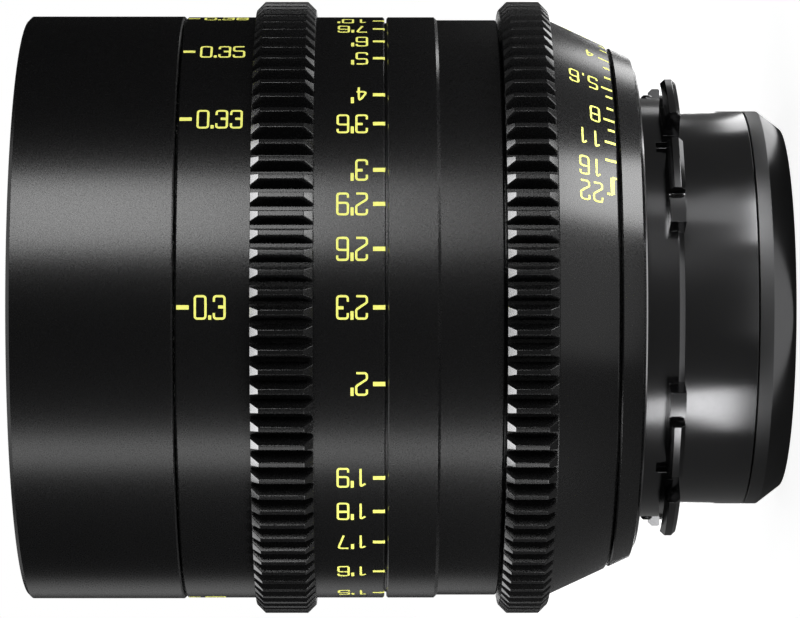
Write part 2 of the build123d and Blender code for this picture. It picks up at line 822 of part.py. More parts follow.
def make_focus_cell():
    """The sliding cell of the focusing group, with two lands that fit the main barrel."""
    rear_z, front_z = focus_cell_rear_z, focus_cell_front_z
    relief = carrier_radius - focus_relief
    bore = carrier_radius - focus_glass_inset
    seat_z = front_z - focus_glass_seat
    throat = carrier_radius - focus_stop_inset
    stop_seat_z = rear_z + focus_stop_seat
    body = revolved(
        [
            (throat + glass_gap, rear_z),
            (carrier_radius, rear_z),
            (carrier_radius, rear_z + focus_land_length),
            (relief, rear_z + focus_land_length),
            (relief, roller_z - focus_land_length),
            (carrier_radius, roller_z - focus_land_length),
            (carrier_radius, front_z),
            (bore + glass_gap, front_z),
            (bore + glass_gap, seat_z),
            (throat - glass_seat_width, seat_z),
            (throat - glass_seat_width, stop_seat_z),
            (throat + glass_gap, stop_seat_z),
        ]
    )
    for angle in ring_angles(guide_slot_count, guide_first_angle):
        body -= radial_pin(roller_bore_radius, angle, roller_root_radius, carrier_radius + cut_overrun, roller_z)
    return body


def make_rollers():
    """Brass rollers that run in the straight and the helical slots at once."""
    rollers = []
    for angle in ring_angles(guide_slot_count, guide_first_angle):
        sleeve = radial_pin(roller_radius, angle, carrier_radius, roller_tip_radius, roller_z)
        sleeve -= radial_pin(
            roller_bore_radius, angle, carrier_radius - cut_overrun, roller_tip_radius + cut_overrun, roller_z
        )
        rollers.append(sleeve)
    return rollers


def make_roller_screws():
    """The studs that the rollers turn on, screwed into the focusing cell."""
    return [
        radial_pin(roller_bore_radius, angle, roller_root_radius, roller_tip_radius, roller_z)
        for angle in ring_angles(guide_slot_count, guide_first_angle)
    ]


def focus_glass_values():
    """Rim radius and the heights of the focusing doublet's three rims."""
    radius = carrier_radius - focus_glass_inset
    rear_rim = focus_cell_front_z - focus_glass_seat
    middle_rim = rear_rim + focus_flint_rim
    return radius, rear_rim, middle_rim, middle_rim + focus_crown_rim


def make_focus_flint():
    """The rear half of the cemented focusing doublet."""
    radius, rear_rim, middle_rim, _ = focus_glass_values()
    return glass(radius, rear_rim, middle_rim, focus_rear_sag, focus_cement_sag)


def make_focus_crown():
    """The front half of the cemented focusing doublet."""
    radius, _, middle_rim, front_rim = focus_glass_values()
    return glass(radius, middle_rim, front_rim, focus_cement_sag, focus_outer_sag + focus_cement_sag)


def make_focus_lock_ring():
    """The threaded ring that holds the focusing doublet."""
    radius, _, _, front_rim = focus_glass_values()
    return lock_ring(radius, radius - lock_ring_width, front_rim, front_rim + lock_ring_height)


def make_focus_rear_glass():
    """The single element at the back of the focusing group."""
    radius = carrier_radius - focus_stop_inset
    front_rim = focus_cell_rear_z + focus_stop_seat
    rear_rim = front_rim - focus_stop_rim
    return glass(radius, rear_rim, front_rim, -focus_stop_rear_sag, focus_stop_front_sag)


def make_focus_rear_lock_ring():
    """The threaded ring behind the focusing group's last element."""
    radius = carrier_radius - focus_stop_inset
    high = focus_cell_rear_z + focus_stop_seat - focus_stop_rim
    return tube(radius, radius - lock_ring_width, focus_cell_rear_z, high)


def make_front_barrel():
    """The front of the barrel, with the bore that takes a filter."""
    wide_bore = front_bore - filter_wall / 2
    return revolved(
        [
            (guide_outer + thread_gap, front_rear_z),
            (barrel_radius - front_rear_chamfer, front_rear_z),
            (barrel_radius, front_rear_z + front_rear_chamfer),
            (barrel_radius, front_rim_z - front_edge_chamfer),
            (barrel_radius - front_edge_chamfer, front_rim_z),
            (front_bore + front_edge_chamfer, front_rim_z),
            (front_bore, front_rim_z - front_edge_chamfer),
            (front_bore, front_rim_z - filter_depth),
            (wide_bore + thread_gap, front_rim_z - filter_depth),
            (wide_bore + thread_gap, main_front_z),
            (guide_outer + thread_gap, main_front_z),
        ]
    )


def make_front_cell():
    """The cup that carries the two fixed front elements."""
    spigot = guide_inner - thread_gap
    second = spigot - second_glass_inset
    spigot_rear_z = main_front_z - front_cell_spigot
    flange_front_z = main_front_z + front_cell_flange
    seat_z = spigot_rear_z + lock_ring_height + second_glass_rim
    return revolved(
        [
            (second + glass_gap, spigot_rear_z),
            (spigot, spigot_rear_z),
            (spigot, main_front_z),
            (front_cell_outer, main_front_z),
            (front_cell_outer, front_cell_front_z),
            (front_cell_bore + glass_gap, front_cell_front_z),
            (front_cell_bore + glass_gap, front_glass_rear_z),
            (front_cell_bore - glass_seat_width, front_glass_rear_z),
            (front_cell_bore - glass_seat_width, flange_front_z),
            (second - glass_seat_width, seat_z + cut_overrun),
            (second - glass_seat_width, seat_z),
            (second + glass_gap, seat_z),
        ]
    )


def make_front_glass():
    """The large front element, a deep meniscus."""
    return glass(
        front_cell_bore, front_glass_rear_z, front_glass_front_z, front_glass_rear_sag, front_glass_front_sag
    )


def make_front_lock_ring():
    """The threaded ring that holds the front element."""
    return lock_ring(
        front_cell_bore, front_cell_bore - front_lock_width, front_glass_front_z, front_glass_front_z + front_lock_height
    )


def make_guard_ring():
    """The bare conical ring between the front element and the filter thread."""
    inner = front_cell_bore - front_lock_width
    outer = front_cell_outer
    low = front_cell_front_z
    return revolved(
        [
            (inner, low),
            (outer, low),
            (outer, low + guard_ring_rise + guard_ring_thickness),
            (outer - guard_ring_thickness, low + guard_ring_rise + guard_ring_thickness),
            (inner, low + guard_ring_thickness),
        ]
    )


def second_glass_values():
    """Rim radius and rim heights of the second element."""
    radius = guide_inner - thread_gap - second_glass_inset
    rear_rim = main_front_z - front_cell_spigot + lock_ring_height
    return radius, rear_rim, rear_rim + second_glass_rim


def make_second_glass():
    """The second fixed element, hollow towards the rear."""
    radius, rear_rim, front_rim = second_glass_values()
    return glass(radius, rear_rim, front_rim, second_glass_rear_sag, second_glass_rear_sag + second_glass_front_sag)


def make_second_lock_ring():
    """The threaded ring behind the second element."""
    radius, rear_rim, _ = second_glass_values()
    return tube(radius, radius - lock_ring_width, rear_rim - lock_ring_height, rear_rim)


def make_rear_cell():
    """The cell of the rear group, screwed into the mount's shoulder."""
    collar_front_z = min(rear_collar_front, shoulder_z - mount_screw_head_height - rear_collar_gap)
    collar_rear_z = collar_front_z - rear_collar_length
    collar = mount_bore - rear_collar_gap
    return revolved(
        [
            (rear_glass_radius + glass_gap, rear_cell_rear_z),
            (rear_cell_outer, rear_cell_rear_z),
            (rear_cell_outer, collar_rear_z),
            (collar, collar_rear_z),
            (collar, collar_front_z),
            (rear_cell_outer, collar_front_z),
            (rear_cell_outer, rear_cell_front_z),
            (rear_glass_radius - glass_seat_width, rear_cell_front_z),
            (rear_glass_radius - glass_seat_width, rear_crown_front_z),
            (rear_glass_radius + glass_gap, rear_crown_front_z),
        ]
    )


def make_rear_crown():
    """The front half of the cemented rear doublet."""
    return glass(rear_glass_radius, rear_crown_rear_z, rear_crown_front_z, rear_cement_sag, rear_outer_sag)


def make_rear_flint():
    """The rear half of the cemented rear doublet."""
    return glass(rear_glass_radius, rear_flint_rear_z, rear_crown_rear_z, rear_flint_sag, rear_cement_sag)


def make_rear_spacer():
    """The ring that parts the rear doublet from the last element."""
    return tube(rear_glass_radius, rear_glass_radius - spacer_wall, rear_last_front_z, rear_flint_rear_z)


def make_rear_glass():
    """The last element, which faces the film plane."""
    return glass(rear_glass_radius, rear_last_rear_z, rear_last_front_z, -rear_last_rear_sag, rear_last_front_sag / 2)


def make_rear_lock_ring():
    """The threaded ring that holds the rear glass."""
    return tube(rear_glass_radius, rear_glass_radius - lock_ring_width, rear_cell_rear_z, rear_last_rear_z)


def write(name, shape):
    """Save one sub-part; a list is a group of separate solids."""
    solids = Compound(children=list(shape)) if isinstance(shape, list) else shape
    export_step(solids, f"parts/{name}.step")


def make_parts():
    """Every sub-part by name, from the rear to the front."""
    parts = {
        "pl_mount": make_mount(),
        "neck_buttons": make_buttons(),
        "mount_shim": make_shim(),
        "mount_screws": make_mount_screws(),
        "rear_ring": make_rear_ring(),
        "rear_trim_ring": make_trim_ring(),
        "main_barrel": make_main_barrel(),
        "rear_cell": make_rear_cell(),
        "rear_crown_glass": make_rear_crown(),
        "rear_flint_glass": make_rear_flint(),
        "rear_spacer": make_rear_spacer(),
        "rear_glass": make_rear_glass(),
        "rear_lock_ring": make_rear_lock_ring(),
        "iris_ring": make_iris_ring(),
        "iris_pin": make_iris_pin(),
        "iris_actuator": make_actuator(),
        "iris_plate": make_iris_plate(),
        "iris_lock_ring": make_iris_lock_ring(),
        "mid_barrel": make_mid_barrel(),
        "spigot_screws": make_spigot_screws(),
        "rear_glide_ring": make_glide_ring(mid_front_z, focus_rear_z),
        "focus_ring": make_focus_ring(),
        "cam_tube": make_cam_tube(),
        "cam_screws": make_cam_screws(),
        "front_glide_ring": make_glide_ring(focus_front_z, front_rear_z),
        "focus_cell": make_focus_cell(),
        "cam_rollers": make_rollers(),
        "roller_studs": make_roller_screws(),
        "focus_crown_glass": make_focus_crown(),
        "focus_flint_glass": make_focus_flint(),
        "focus_lock_ring": make_focus_lock_ring(),
        "focus_rear_glass": make_focus_rear_glass(),
        "focus_rear_lock_ring": make_focus_rear_lock_ring(),
        "front_barrel": make_front_barrel(),
        "front_cell": make_front_cell(),
        "front_glass": make_front_glass(),
        "front_lock_ring": make_front_lock_ring(),
        "guard_ring": make_guard_ring(),
        "second_glass": make_second_glass(),
        "second_lock_ring": make_second_lock_ring(),
    }
    for index in range(blade_count):
        parts[f"iris_blade_{index + 1}"] = make_blade(index)
    return parts


os.makedirs("parts", exist_ok=True)
for part_name, part_shape in make_parts().items():
    write(part_name, part_shape)
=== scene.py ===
"""Dresses a cinema prime lens that stands on its mount, front up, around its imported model.

Lengths are in metres. The optical axis is +Z and the mount's seating face is at height 0. Angles
are in degrees about the axis, counted from the side that the scales face, -Y, towards +X.
"""

import json
import logging
from collections.abc import Sequence
from dataclasses import dataclass, field, replace
from enum import Enum
from math import cos, pi, radians, sin, sqrt, tan

import bmesh
import bpy
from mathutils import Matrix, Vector

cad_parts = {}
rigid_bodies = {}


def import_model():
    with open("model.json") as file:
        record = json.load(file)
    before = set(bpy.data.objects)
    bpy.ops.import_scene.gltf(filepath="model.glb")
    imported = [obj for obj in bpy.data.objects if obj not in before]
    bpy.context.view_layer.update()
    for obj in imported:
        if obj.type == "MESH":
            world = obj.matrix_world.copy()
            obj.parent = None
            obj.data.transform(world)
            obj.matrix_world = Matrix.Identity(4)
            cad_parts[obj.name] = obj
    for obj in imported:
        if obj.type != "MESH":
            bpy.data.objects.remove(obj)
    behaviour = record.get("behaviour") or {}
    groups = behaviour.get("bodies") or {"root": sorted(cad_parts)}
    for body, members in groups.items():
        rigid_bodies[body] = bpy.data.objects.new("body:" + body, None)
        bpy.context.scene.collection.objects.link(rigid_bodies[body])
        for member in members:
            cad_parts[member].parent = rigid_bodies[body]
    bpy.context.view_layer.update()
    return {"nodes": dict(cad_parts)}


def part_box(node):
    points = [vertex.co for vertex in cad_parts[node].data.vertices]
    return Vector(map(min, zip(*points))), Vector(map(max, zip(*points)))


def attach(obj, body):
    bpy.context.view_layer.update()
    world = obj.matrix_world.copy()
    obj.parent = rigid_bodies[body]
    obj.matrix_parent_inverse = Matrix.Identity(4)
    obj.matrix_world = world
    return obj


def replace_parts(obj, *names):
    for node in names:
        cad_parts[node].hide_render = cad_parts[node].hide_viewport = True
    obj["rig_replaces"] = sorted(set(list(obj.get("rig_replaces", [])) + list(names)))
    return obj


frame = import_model()

log = logging.getLogger("prime_lens")

Piece = bpy.types.Object
Shape = bmesh.types.BMesh
Socket = bpy.types.NodeSocket
Tree = bpy.types.NodeTree

FULL_TURN = 2 * pi
QUARTER_TURN = FULL_TURN / 4
TURNED_SIDES = 256
ROUNDING_STEPS = 4
EDGE_SEGMENTS = 2
ROUND_PROFILE = 0.5
FULL_STRENGTH = 1.0
LEAST_BEND = 0.5
SHARP_EDGE = radians(38)
SLIGHT_CREASE = radians(20)
AXIS_REACH = 1e-7
MERGE_DISTANCE = 2e-6
FLAT_ANGLE = radians(0.4)
SOFT_EDGE = 0.00006
RING_EDGE = 0.00005
EDGE_BREAK = 0.0002
# Least tilt of a chamfer face, up or down, that gets the painted edge highlight.
EDGE_HIGHLIGHT_SLOPE = 0.5
HIDDEN_DEPTH = 0.0001
INDEX_ANGLES = (-90.0, 90.0)
UPWARD = Vector((0, 0, 1))


@dataclass(frozen=True)
class Corner:
    """A corner of an outline or of a pen stroke.

    Attributes:
        across: distance from the optical axis, or place along the reading direction.
        along: height on the optical axis, or place across the reading direction.
        rounding: radius of the rounded corner, 0 where it stays sharp.
    """

    across: float
    along: float
    rounding: float = 0.0


def rounded(corners: Sequence[Corner], closed: bool = True) -> list[Vector]:
    """Replace each corner by a short curve of its own rounding.

    Args:
        corners: the corners in order.
        closed: whether the last corner joins the first.

    Returns:
        The points of the rounded line.
    """
    line: list[Vector] = []
    last = len(corners) - 1
    for index, corner in enumerate(corners):
        here = Vector((corner.across, corner.along))
        if not corner.rounding or (not closed and index in (0, last)):
            line.append(here)
            continue
        following = corners[(index + 1) % len(corners)]
        back = Vector((corners[index - 1].across, corners[index - 1].along)) - here
        ahead = Vector((following.across, following.along)) - here
        reach = min(corner.rounding / tan(back.angle(ahead) / 2), back.length / 2, ahead.length / 2)
        start = here + back.normalized() * reach
        end = here + ahead.normalized() * reach
        for step in range(ROUNDING_STEPS + 1):
            share = step / ROUNDING_STEPS
            line.append(start.lerp(here, share).lerp(here.lerp(end, share), share))
    return line


def broken_edge(radius: float, height: float, way: int, slope: float = 0.0) -> list[Corner]:
    """Break a ring's outside edge.

    Args:
        radius: radius of the sharp edge.
        height: height of the sharp edge.
        way: 1 for an edge that faces the front, -1 for one that faces the rear.
        slope: how much the wall's radius grows with height.

    Returns:
        The two corners, from the rear to the front.
    """
    wall = Corner(radius - way * slope * EDGE_BREAK, height - way * EDGE_BREAK, RING_EDGE)
    face = Corner(radius - EDGE_BREAK, height, RING_EDGE)
    return [wall, face] if way > 0 else [face, wall]


def placed(name: str, data: bpy.types.ID) -> Piece:
    """Make an object of its data, at the scene's origin.

    Args:
        name: the object's name.
        data: its mesh, lamp or camera.

    Returns:
        The object.
    """
    thing = bpy.data.objects.new(name, data)
    bpy.context.scene.collection.objects.link(thing)
    return thing


def new_object(name: str, shape: Shape) -> Piece:
    """Make an object of a finished mesh, smooth but for its sharp edges.

    Args:
        name: the object's name.
        shape: the mesh, which is freed here.

    Returns:
        The object, at the origin.
    """
    mesh = bpy.data.meshes.new(name)
    shape.to_mesh(mesh)
    shape.free()
    mesh.shade_smooth()
    mesh.set_sharp_from_angle(angle=SHARP_EDGE)
    return placed(name, mesh)


def closed_object(name: str, shape: Shape) -> Piece:
    """Make an object of a closed mesh whose faces may point either way."""
    bmesh.ops.recalc_face_normals(shape, faces=shape.faces)
    return new_object(name, shape)


def settle(piece: Piece) -> Piece:
    """Turn a piece's modifiers into plain mesh.

    Args:
        piece: an object with live modifiers.

    Returns:
        The same object, with the result as its own mesh.
    """
    graph = bpy.context.evaluated_depsgraph_get()
    name = piece.data.name
    mesh = bpy.data.meshes.new_from_object(piece.evaluated_get(graph))
    piece.modifiers.clear()
    piece.data = mesh
    mesh.name = name
    return piece


def level_shading(piece: Piece) -> Piece:
    """Keep wide faces flat in the shading beside their narrow rounded edges.

    Args:
        piece: the piece, with its edges rounded.

    Returns:
        The same piece, as plain mesh.
    """
    weighted = piece.modifiers.new("weighted", "WEIGHTED_NORMAL")
    weighted.mode = "FACE_AREA"
    weighted.keep_sharp = True
    return settle(piece)


def turned(name: str, corners: Sequence[Corner]) -> Piece:
    """Turn a closed outline about the optical axis."""
    return turned_line(name, rounded(corners))


def turned_line(name: str, line: Sequence[Vector]) -> Piece:
    """Turn a closed line of (radius, height) points about the optical axis.

    Args:
        name: the piece's name.
        line: the points, anticlockwise with the axis at their left.

    Returns:
        The turned piece, closed, with its poles joined.
    """
    shape = bmesh.new()
    turns = [FULL_TURN / TURNED_SIDES * side for side in range(TURNED_SIDES)]
    rings: list[list[bmesh.types.BMVert]] = []
    for point in line:
        places = turns[:1] if point.x < AXIS_REACH else turns
        around = [(point.x * cos(turn), point.x * sin(turn), point.y) for turn in places]
        rings.append([shape.verts.new(place) for place in around])
    for ring, above in zip(rings, rings[1:] + rings[:1]):
        if len(ring) == 1 and len(above) == 1:
            continue
        for side in range(TURNED_SIDES):
            after = (side + 1) % TURNED_SIDES
            round_face = (
                ring[side % len(ring)],
                ring[after % len(ring)],
                above[after % len(above)],
                above[side % len(above)],
            )
            shape.faces.new(dict.fromkeys(round_face))
    return level_shading(new_object(name, shape))


def softened(name: str, node: str, crease: float = SHARP_EDGE) -> Piece:
    """Copy a node's mesh with its sharp edges broken.

    Args:
        name: the new piece's name.
        node: the node that it copies.
        crease: the smallest angle of an edge that is broken.

    Returns:
        The softened copy.
    """
    shape = bmesh.new()
    shape.from_mesh(frame["nodes"][node].data)
    bmesh.ops.remove_doubles(shape, verts=shape.verts, dist=MERGE_DISTANCE)
    bmesh.ops.dissolve_limit(shape, angle_limit=FLAT_ANGLE, verts=shape.verts, edges=shape.edges)
    piece = new_object(name, shape)
    bevel = piece.modifiers.new("edges", "BEVEL")
    bevel.width = SOFT_EDGE
    bevel.segments = EDGE_SEGMENTS
    bevel.limit_method = "ANGLE"
    bevel.angle_limit = crease
    bevel.use_clamp_overlap = True
    settle(piece)
    return level_shading(piece)


class Wiring:
    """Builds a node tree by naming each node's inputs."""

    def __init__(self, tree: Tree) -> None:
        """Start with an empty tree."""
        self.tree = tree
        tree.nodes.clear()

    def add(self, kind: str, settings: dict | None = None, **inputs: object) -> bpy.types.Node:
        """Add a node, set its own settings, and set or link its inputs.

        Args:
            kind: the node's type.
            settings: attributes of the node itself.
            **inputs: an input's name in small letters with underscores, and a value or a socket.

        Returns:
            The node.
        """
        node = self.tree.nodes.new(kind)
        for key, value in (settings or {}).items():
            setattr(node, key, value)
        sockets = {s.name.lower().replace(" ", "_"): s for s in reversed(node.inputs) if s.enabled}
        for key, value in inputs.items():
            if isinstance(value, Socket):
                self.tree.links.new(value, sockets[key])
            else:
                sockets[key].default_value = value
        return node

    def link(self, node: bpy.types.Node, *sources: Socket, first: int = 0) -> Socket:
        """Link sources to a node's inputs by their order.

        Args:
            node: the node.
            *sources: the sockets that feed it.
            first: place of the first input that is fed.

        Returns:
            The node's first output.
        """
        for place, source in enumerate(sources, first):
            self.tree.links.new(source, node.inputs[place])
        return node.outputs[0]

    def math(self, operation: str, first: Socket, second: Socket) -> Socket:
        """Work out a number from two others."""
        return self.link(self.add("ShaderNodeMath", {"operation": operation}), first, second)

    def mix(self, share: Socket, without: Socket, whole: Socket) -> Socket:
        """Mix two shaders by a share."""
        return self.link(self.add("ShaderNodeMixShader", fac=share), without, whole, first=1)

    def noise(self, place: Socket, size: float, detail: float) -> Socket:
        """Add a noise with patches of a size."""
        noise = self.add("ShaderNodeTexNoise", vector=place, scale=1 / size, detail=detail)
        return noise.outputs["Fac"]

    def spread(self, value: Socket, least: float, most: float) -> Socket:
        """Spread a value from 0 to 1 over a range."""
        return self.add("ShaderNodeMapRange", value=value, to_min=least, to_max=most).outputs[0]

    def bump(self, height: Socket, depth: float, **below: Socket) -> Socket:
        """Raise a surface by a height, over the normal below it."""
        bump = self.add("ShaderNodeBump", strength=FULL_STRENGTH, distance=depth, height=height, **below)
        return bump.outputs[0]

    def attribute(self, name: str, kind: str) -> Socket:
        """Read an attribute of the mesh."""
        found = self.add("GeometryNodeInputNamedAttribute", {"data_type": kind}, name=name)
        return found.outputs["Attribute"]


def geometry_tree(name: str, inputs: dict[str, str]) -> tuple[Wiring, bpy.types.Node]:
    """Start a Geometry Nodes tree with named inputs.

    Args:
        name: the tree's name.
        inputs: each input's name and socket type.

    Returns:
        The wiring of the tree and its group input.
    """
    tree = bpy.data.node_groups.new(name, "GeometryNodeTree")
    wiring = Wiring(tree)
    for label, kind in {"Geometry": "NodeSocketGeometry", **inputs}.items():
        tree.interface.new_socket(label, in_out="INPUT", socket_type=kind)
    tree.interface.new_socket("Geometry", in_out="OUTPUT", socket_type="NodeSocketGeometry")
    return wiring, wiring.add("NodeGroupInput")


def coated_copies(
    wiring: Wiring, start: bpy.types.Node, points: Socket, single: Socket, angle: Socket
) -> Socket:
    """Put a copy at each point's angle round the axis.

    Args:
        wiring: the tree's wiring.
        start: the tree's input, which names the material.
        points: a point for each copy.
        single: the piece that is copied.
        angle: each point's angle.

    Returns:
        The copies as real mesh, in their material.
    """
    turn = wiring.add("ShaderNodeCombineXYZ", z=angle)
    rotation = wiring.add("FunctionNodeEulerToRotation", euler=turn.outputs[0]).outputs[0]
    copies = wiring.add("GeometryNodeInstanceOnPoints", points=points, instance=single, rotation=rotation)
    real = wiring.add("GeometryNodeRealizeInstances", geometry=copies.outputs[0]).outputs[0]
    coated = wiring.add("GeometryNodeSetMaterial", geometry=real, material=start.outputs["Material"])
    return coated.outputs[0]


def ring_tree() -> Tree:
    """Make the tree that repeats a piece at even steps round the axis.

    Returns:
        The tree.
    """
    inputs = {
        "Count": "NodeSocketInt",
        "First Angle": "NodeSocketFloat",
        "Step Angle": "NodeSocketFloat",
        "Material": "NodeSocketMaterial",
        "Cut Material": "NodeSocketMaterial",
    }
    wiring, start = geometry_tree("Copies Round The Axis", inputs)
    points = wiring.add("GeometryNodePoints", count=start.outputs["Count"]).outputs[0]
    index = wiring.add("GeometryNodeInputIndex").outputs[0]
    step = wiring.math("MULTIPLY", index, start.outputs["Step Angle"])
    angle = wiring.math("ADD", step, start.outputs["First Angle"])
    coated = coated_copies(wiring, start, points, start.outputs["Geometry"], angle)
    # Faces that the gear marks get bright metal: a painted highlight on the front chamfers.
    bare = wiring.add(
        "GeometryNodeSetMaterial",
        geometry=coated,
        selection=wiring.attribute(Gear.HIGHLIGHT_ATTRIBUTE, "BOOLEAN"),
        material=start.outputs["Cut Material"],
    )
    wiring.add("NodeGroupOutput", geometry=bare.outputs[0])
    return wiring.tree


def mark_tree() -> Tree:
    """Make the tree that repeats a mark at the angle each point carries.

    Returns:
        The tree.
    """
    inputs = {"Mark": "NodeSocketObject", "Material": "NodeSocketMaterial"}
    wiring, start = geometry_tree("Marks At Angles", inputs)
    points, painted = start.outputs["Geometry"], start.outputs["Mark"]
    mark = wiring.add("GeometryNodeObjectInfo", {"transform_space": "ORIGINAL"}, object=painted)
    angle = wiring.attribute(Scale.ANGLE_ATTRIBUTE, "FLOAT")
    coated = coated_copies(wiring, start, points, mark.outputs["Geometry"], angle)
    wiring.add("NodeGroupOutput", geometry=coated)
    return wiring.tree


def grown(piece: Piece, tree: Tree, **values: object) -> Piece:
    """Run a Geometry Nodes tree on a piece and keep the result as plain mesh.

    Args:
        piece: the object whose mesh the tree starts from.
        tree: the tree.
        **values: an input's name in small letters with underscores, and its value.

    Returns:
        The same object, with the tree's result.
    """
    modifier = piece.modifiers.new(tree.name, "NODES")
    modifier.node_group = tree
    for item in tree.interface.items_tree:
        key = item.name.lower().replace(" ", "_")
        if item.in_out == "INPUT" and key in values:
            modifier[item.identifier] = values[key]
    return settle(piece)


@dataclass(frozen=True)
class NamedFinish:
    """A finish whose material is made once.

    Attributes:
        name: the finish's name.
        slot: the record's material slot.
    """

    name: str
    slot: str

    def material(self) -> bpy.types.Material:
        """Make the material, or fetch it where it is already made."""
        found = bpy.data.materials.get(self.name)
        return found if found else self.make()

    def make(self) -> bpy.types.Material:
        """Build the material on object coordinates.

        Returns:
            The material.
        """
        material = bpy.data.materials.new(self.name)
        material.use_nodes = True
        wiring = Wiring(material.node_tree)
        place = wiring.add("ShaderNodeTexCoord").outputs["Object"]
        wiring.add("ShaderNodeOutputMaterial", surface=self.shader(wiring, place).outputs[0])
        return material

    def shader(self, wiring: Wiring, place: Socket) -> bpy.types.Node:
        """Build the finish's own shader."""
        raise NotImplementedError


@dataclass(frozen=True)
class Finish(NamedFinish):
    """A solid finish with a fine grain and, on turned metal, lathe marks.

    Attributes:
        colour: base colour.
        metallic: 1 for bare metal.
        roughness: mean roughness.
        swing: how far the roughness varies each way.
        grain: size of the grain.
        depth: depth of the grain.
        pitch: distance between lathe marks, 0 for none.
        mark_depth: depth of the lathe marks.
        glow: strength of a painted glow, light that the surface gives off though it is no lamp.
    """

    colour: tuple[float, float, float]
    metallic: float = 1.0
    roughness: float = 0.36
    swing: float = 0.04
    grain: float = 0.0002
    depth: float = 0.000001
    pitch: float = 0.0
    mark_depth: float = 0.000002
    glow: float = 0.0

    COLOUR_SHARE = 0.12
    CLOUD_SIZE = 0.012
    CLOUD_DETAIL = 4.0
    GRAIN_DETAIL = 2.0
    MARK_DETAIL = 1.0

    def shader(self, wiring: Wiring, place: Socket) -> bpy.types.Node:
        """Build the shader: clouded colour, grain and lathe marks.

        Args:
            wiring: the material's wiring.
            place: the object coordinates.

        Returns:
            The shader's node.
        """
        cloud = wiring.noise(place, self.CLOUD_SIZE, self.CLOUD_DETAIL)
        tint = wiring.add("ShaderNodeValToRGB", fac=cloud)
        for element, way in zip(tint.color_ramp.elements, (-1, 1)):
            element.color = (*(part * (1 + way * self.COLOUR_SHARE) for part in self.colour), 1)
        grain = wiring.noise(place, self.grain, self.GRAIN_DETAIL)
        rough = wiring.spread(grain, self.roughness - self.swing, self.roughness + self.swing)
        normal = wiring.bump(grain, self.depth)
        if self.pitch:
            normal = self.lathe_marks(wiring, place, normal)
        return wiring.add(
            "ShaderNodeBsdfPrincipled",
            base_color=tint.outputs[0],
            metallic=self.metallic,
            roughness=rough,
            emission_color=(*self.colour, 1),
            emission_strength=self.glow,
            normal=normal,
        )

    def lathe_marks(self, wiring: Wiring, place: Socket, below: Socket) -> Socket:
        """Add fine rings that follow the height along the axis.

        Args:
            wiring: the shader's wiring.
            place: the object coordinates.
            below: the normal that the rings are added to.

        Returns:
            The new normal.
        """
        along = wiring.add("ShaderNodeSeparateXYZ", vector=place).outputs["Z"]
        flat = {"noise_dimensions": "1D"}
        line = wiring.add("ShaderNodeTexNoise", flat, w=along, scale=1 / self.pitch, detail=self.MARK_DETAIL)
        return wiring.bump(line.outputs["Fac"], self.mark_depth, normal=below)


@dataclass(frozen=True)
class GlassFinish(NamedFinish):
    """Coated optical glass.

    Attributes:
        tint: colour of the glass.
        index: refractive index.
        film: thickness of the coating, in nanometres.
        film_index: refractive index of the coating.
    """

    tint: tuple[float, float, float] = (0.93, 0.97, 0.98)
    index: float = 1.62
    film: float = 430.0
    film_index: float = 1.38

    DUST_SIZE = 0.0006
    DUST_DETAIL = 3.0
    POLISH = 0.004
    DUST_ROUGHNESS = 0.012

    def shader(self, wiring: Wiring, place: Socket) -> bpy.types.Node:
        """Build the shader: polished glass with a trace of dust.

        Args:
            wiring: the material's wiring.
            place: the object coordinates.

        Returns:
            The shader's node.
        """
        dust = wiring.noise(place, self.DUST_SIZE, self.DUST_DETAIL)
        return wiring.add(
            "ShaderNodeBsdfPrincipled",
            base_color=(*self.tint, 1),
            roughness=wiring.spread(dust, self.POLISH, self.DUST_ROUGHNESS),
            ior=self.index,
            transmission_weight=FULL_STRENGTH,
            thin_film_thickness=self.film,
            thin_film_ior=self.film_index,
        )


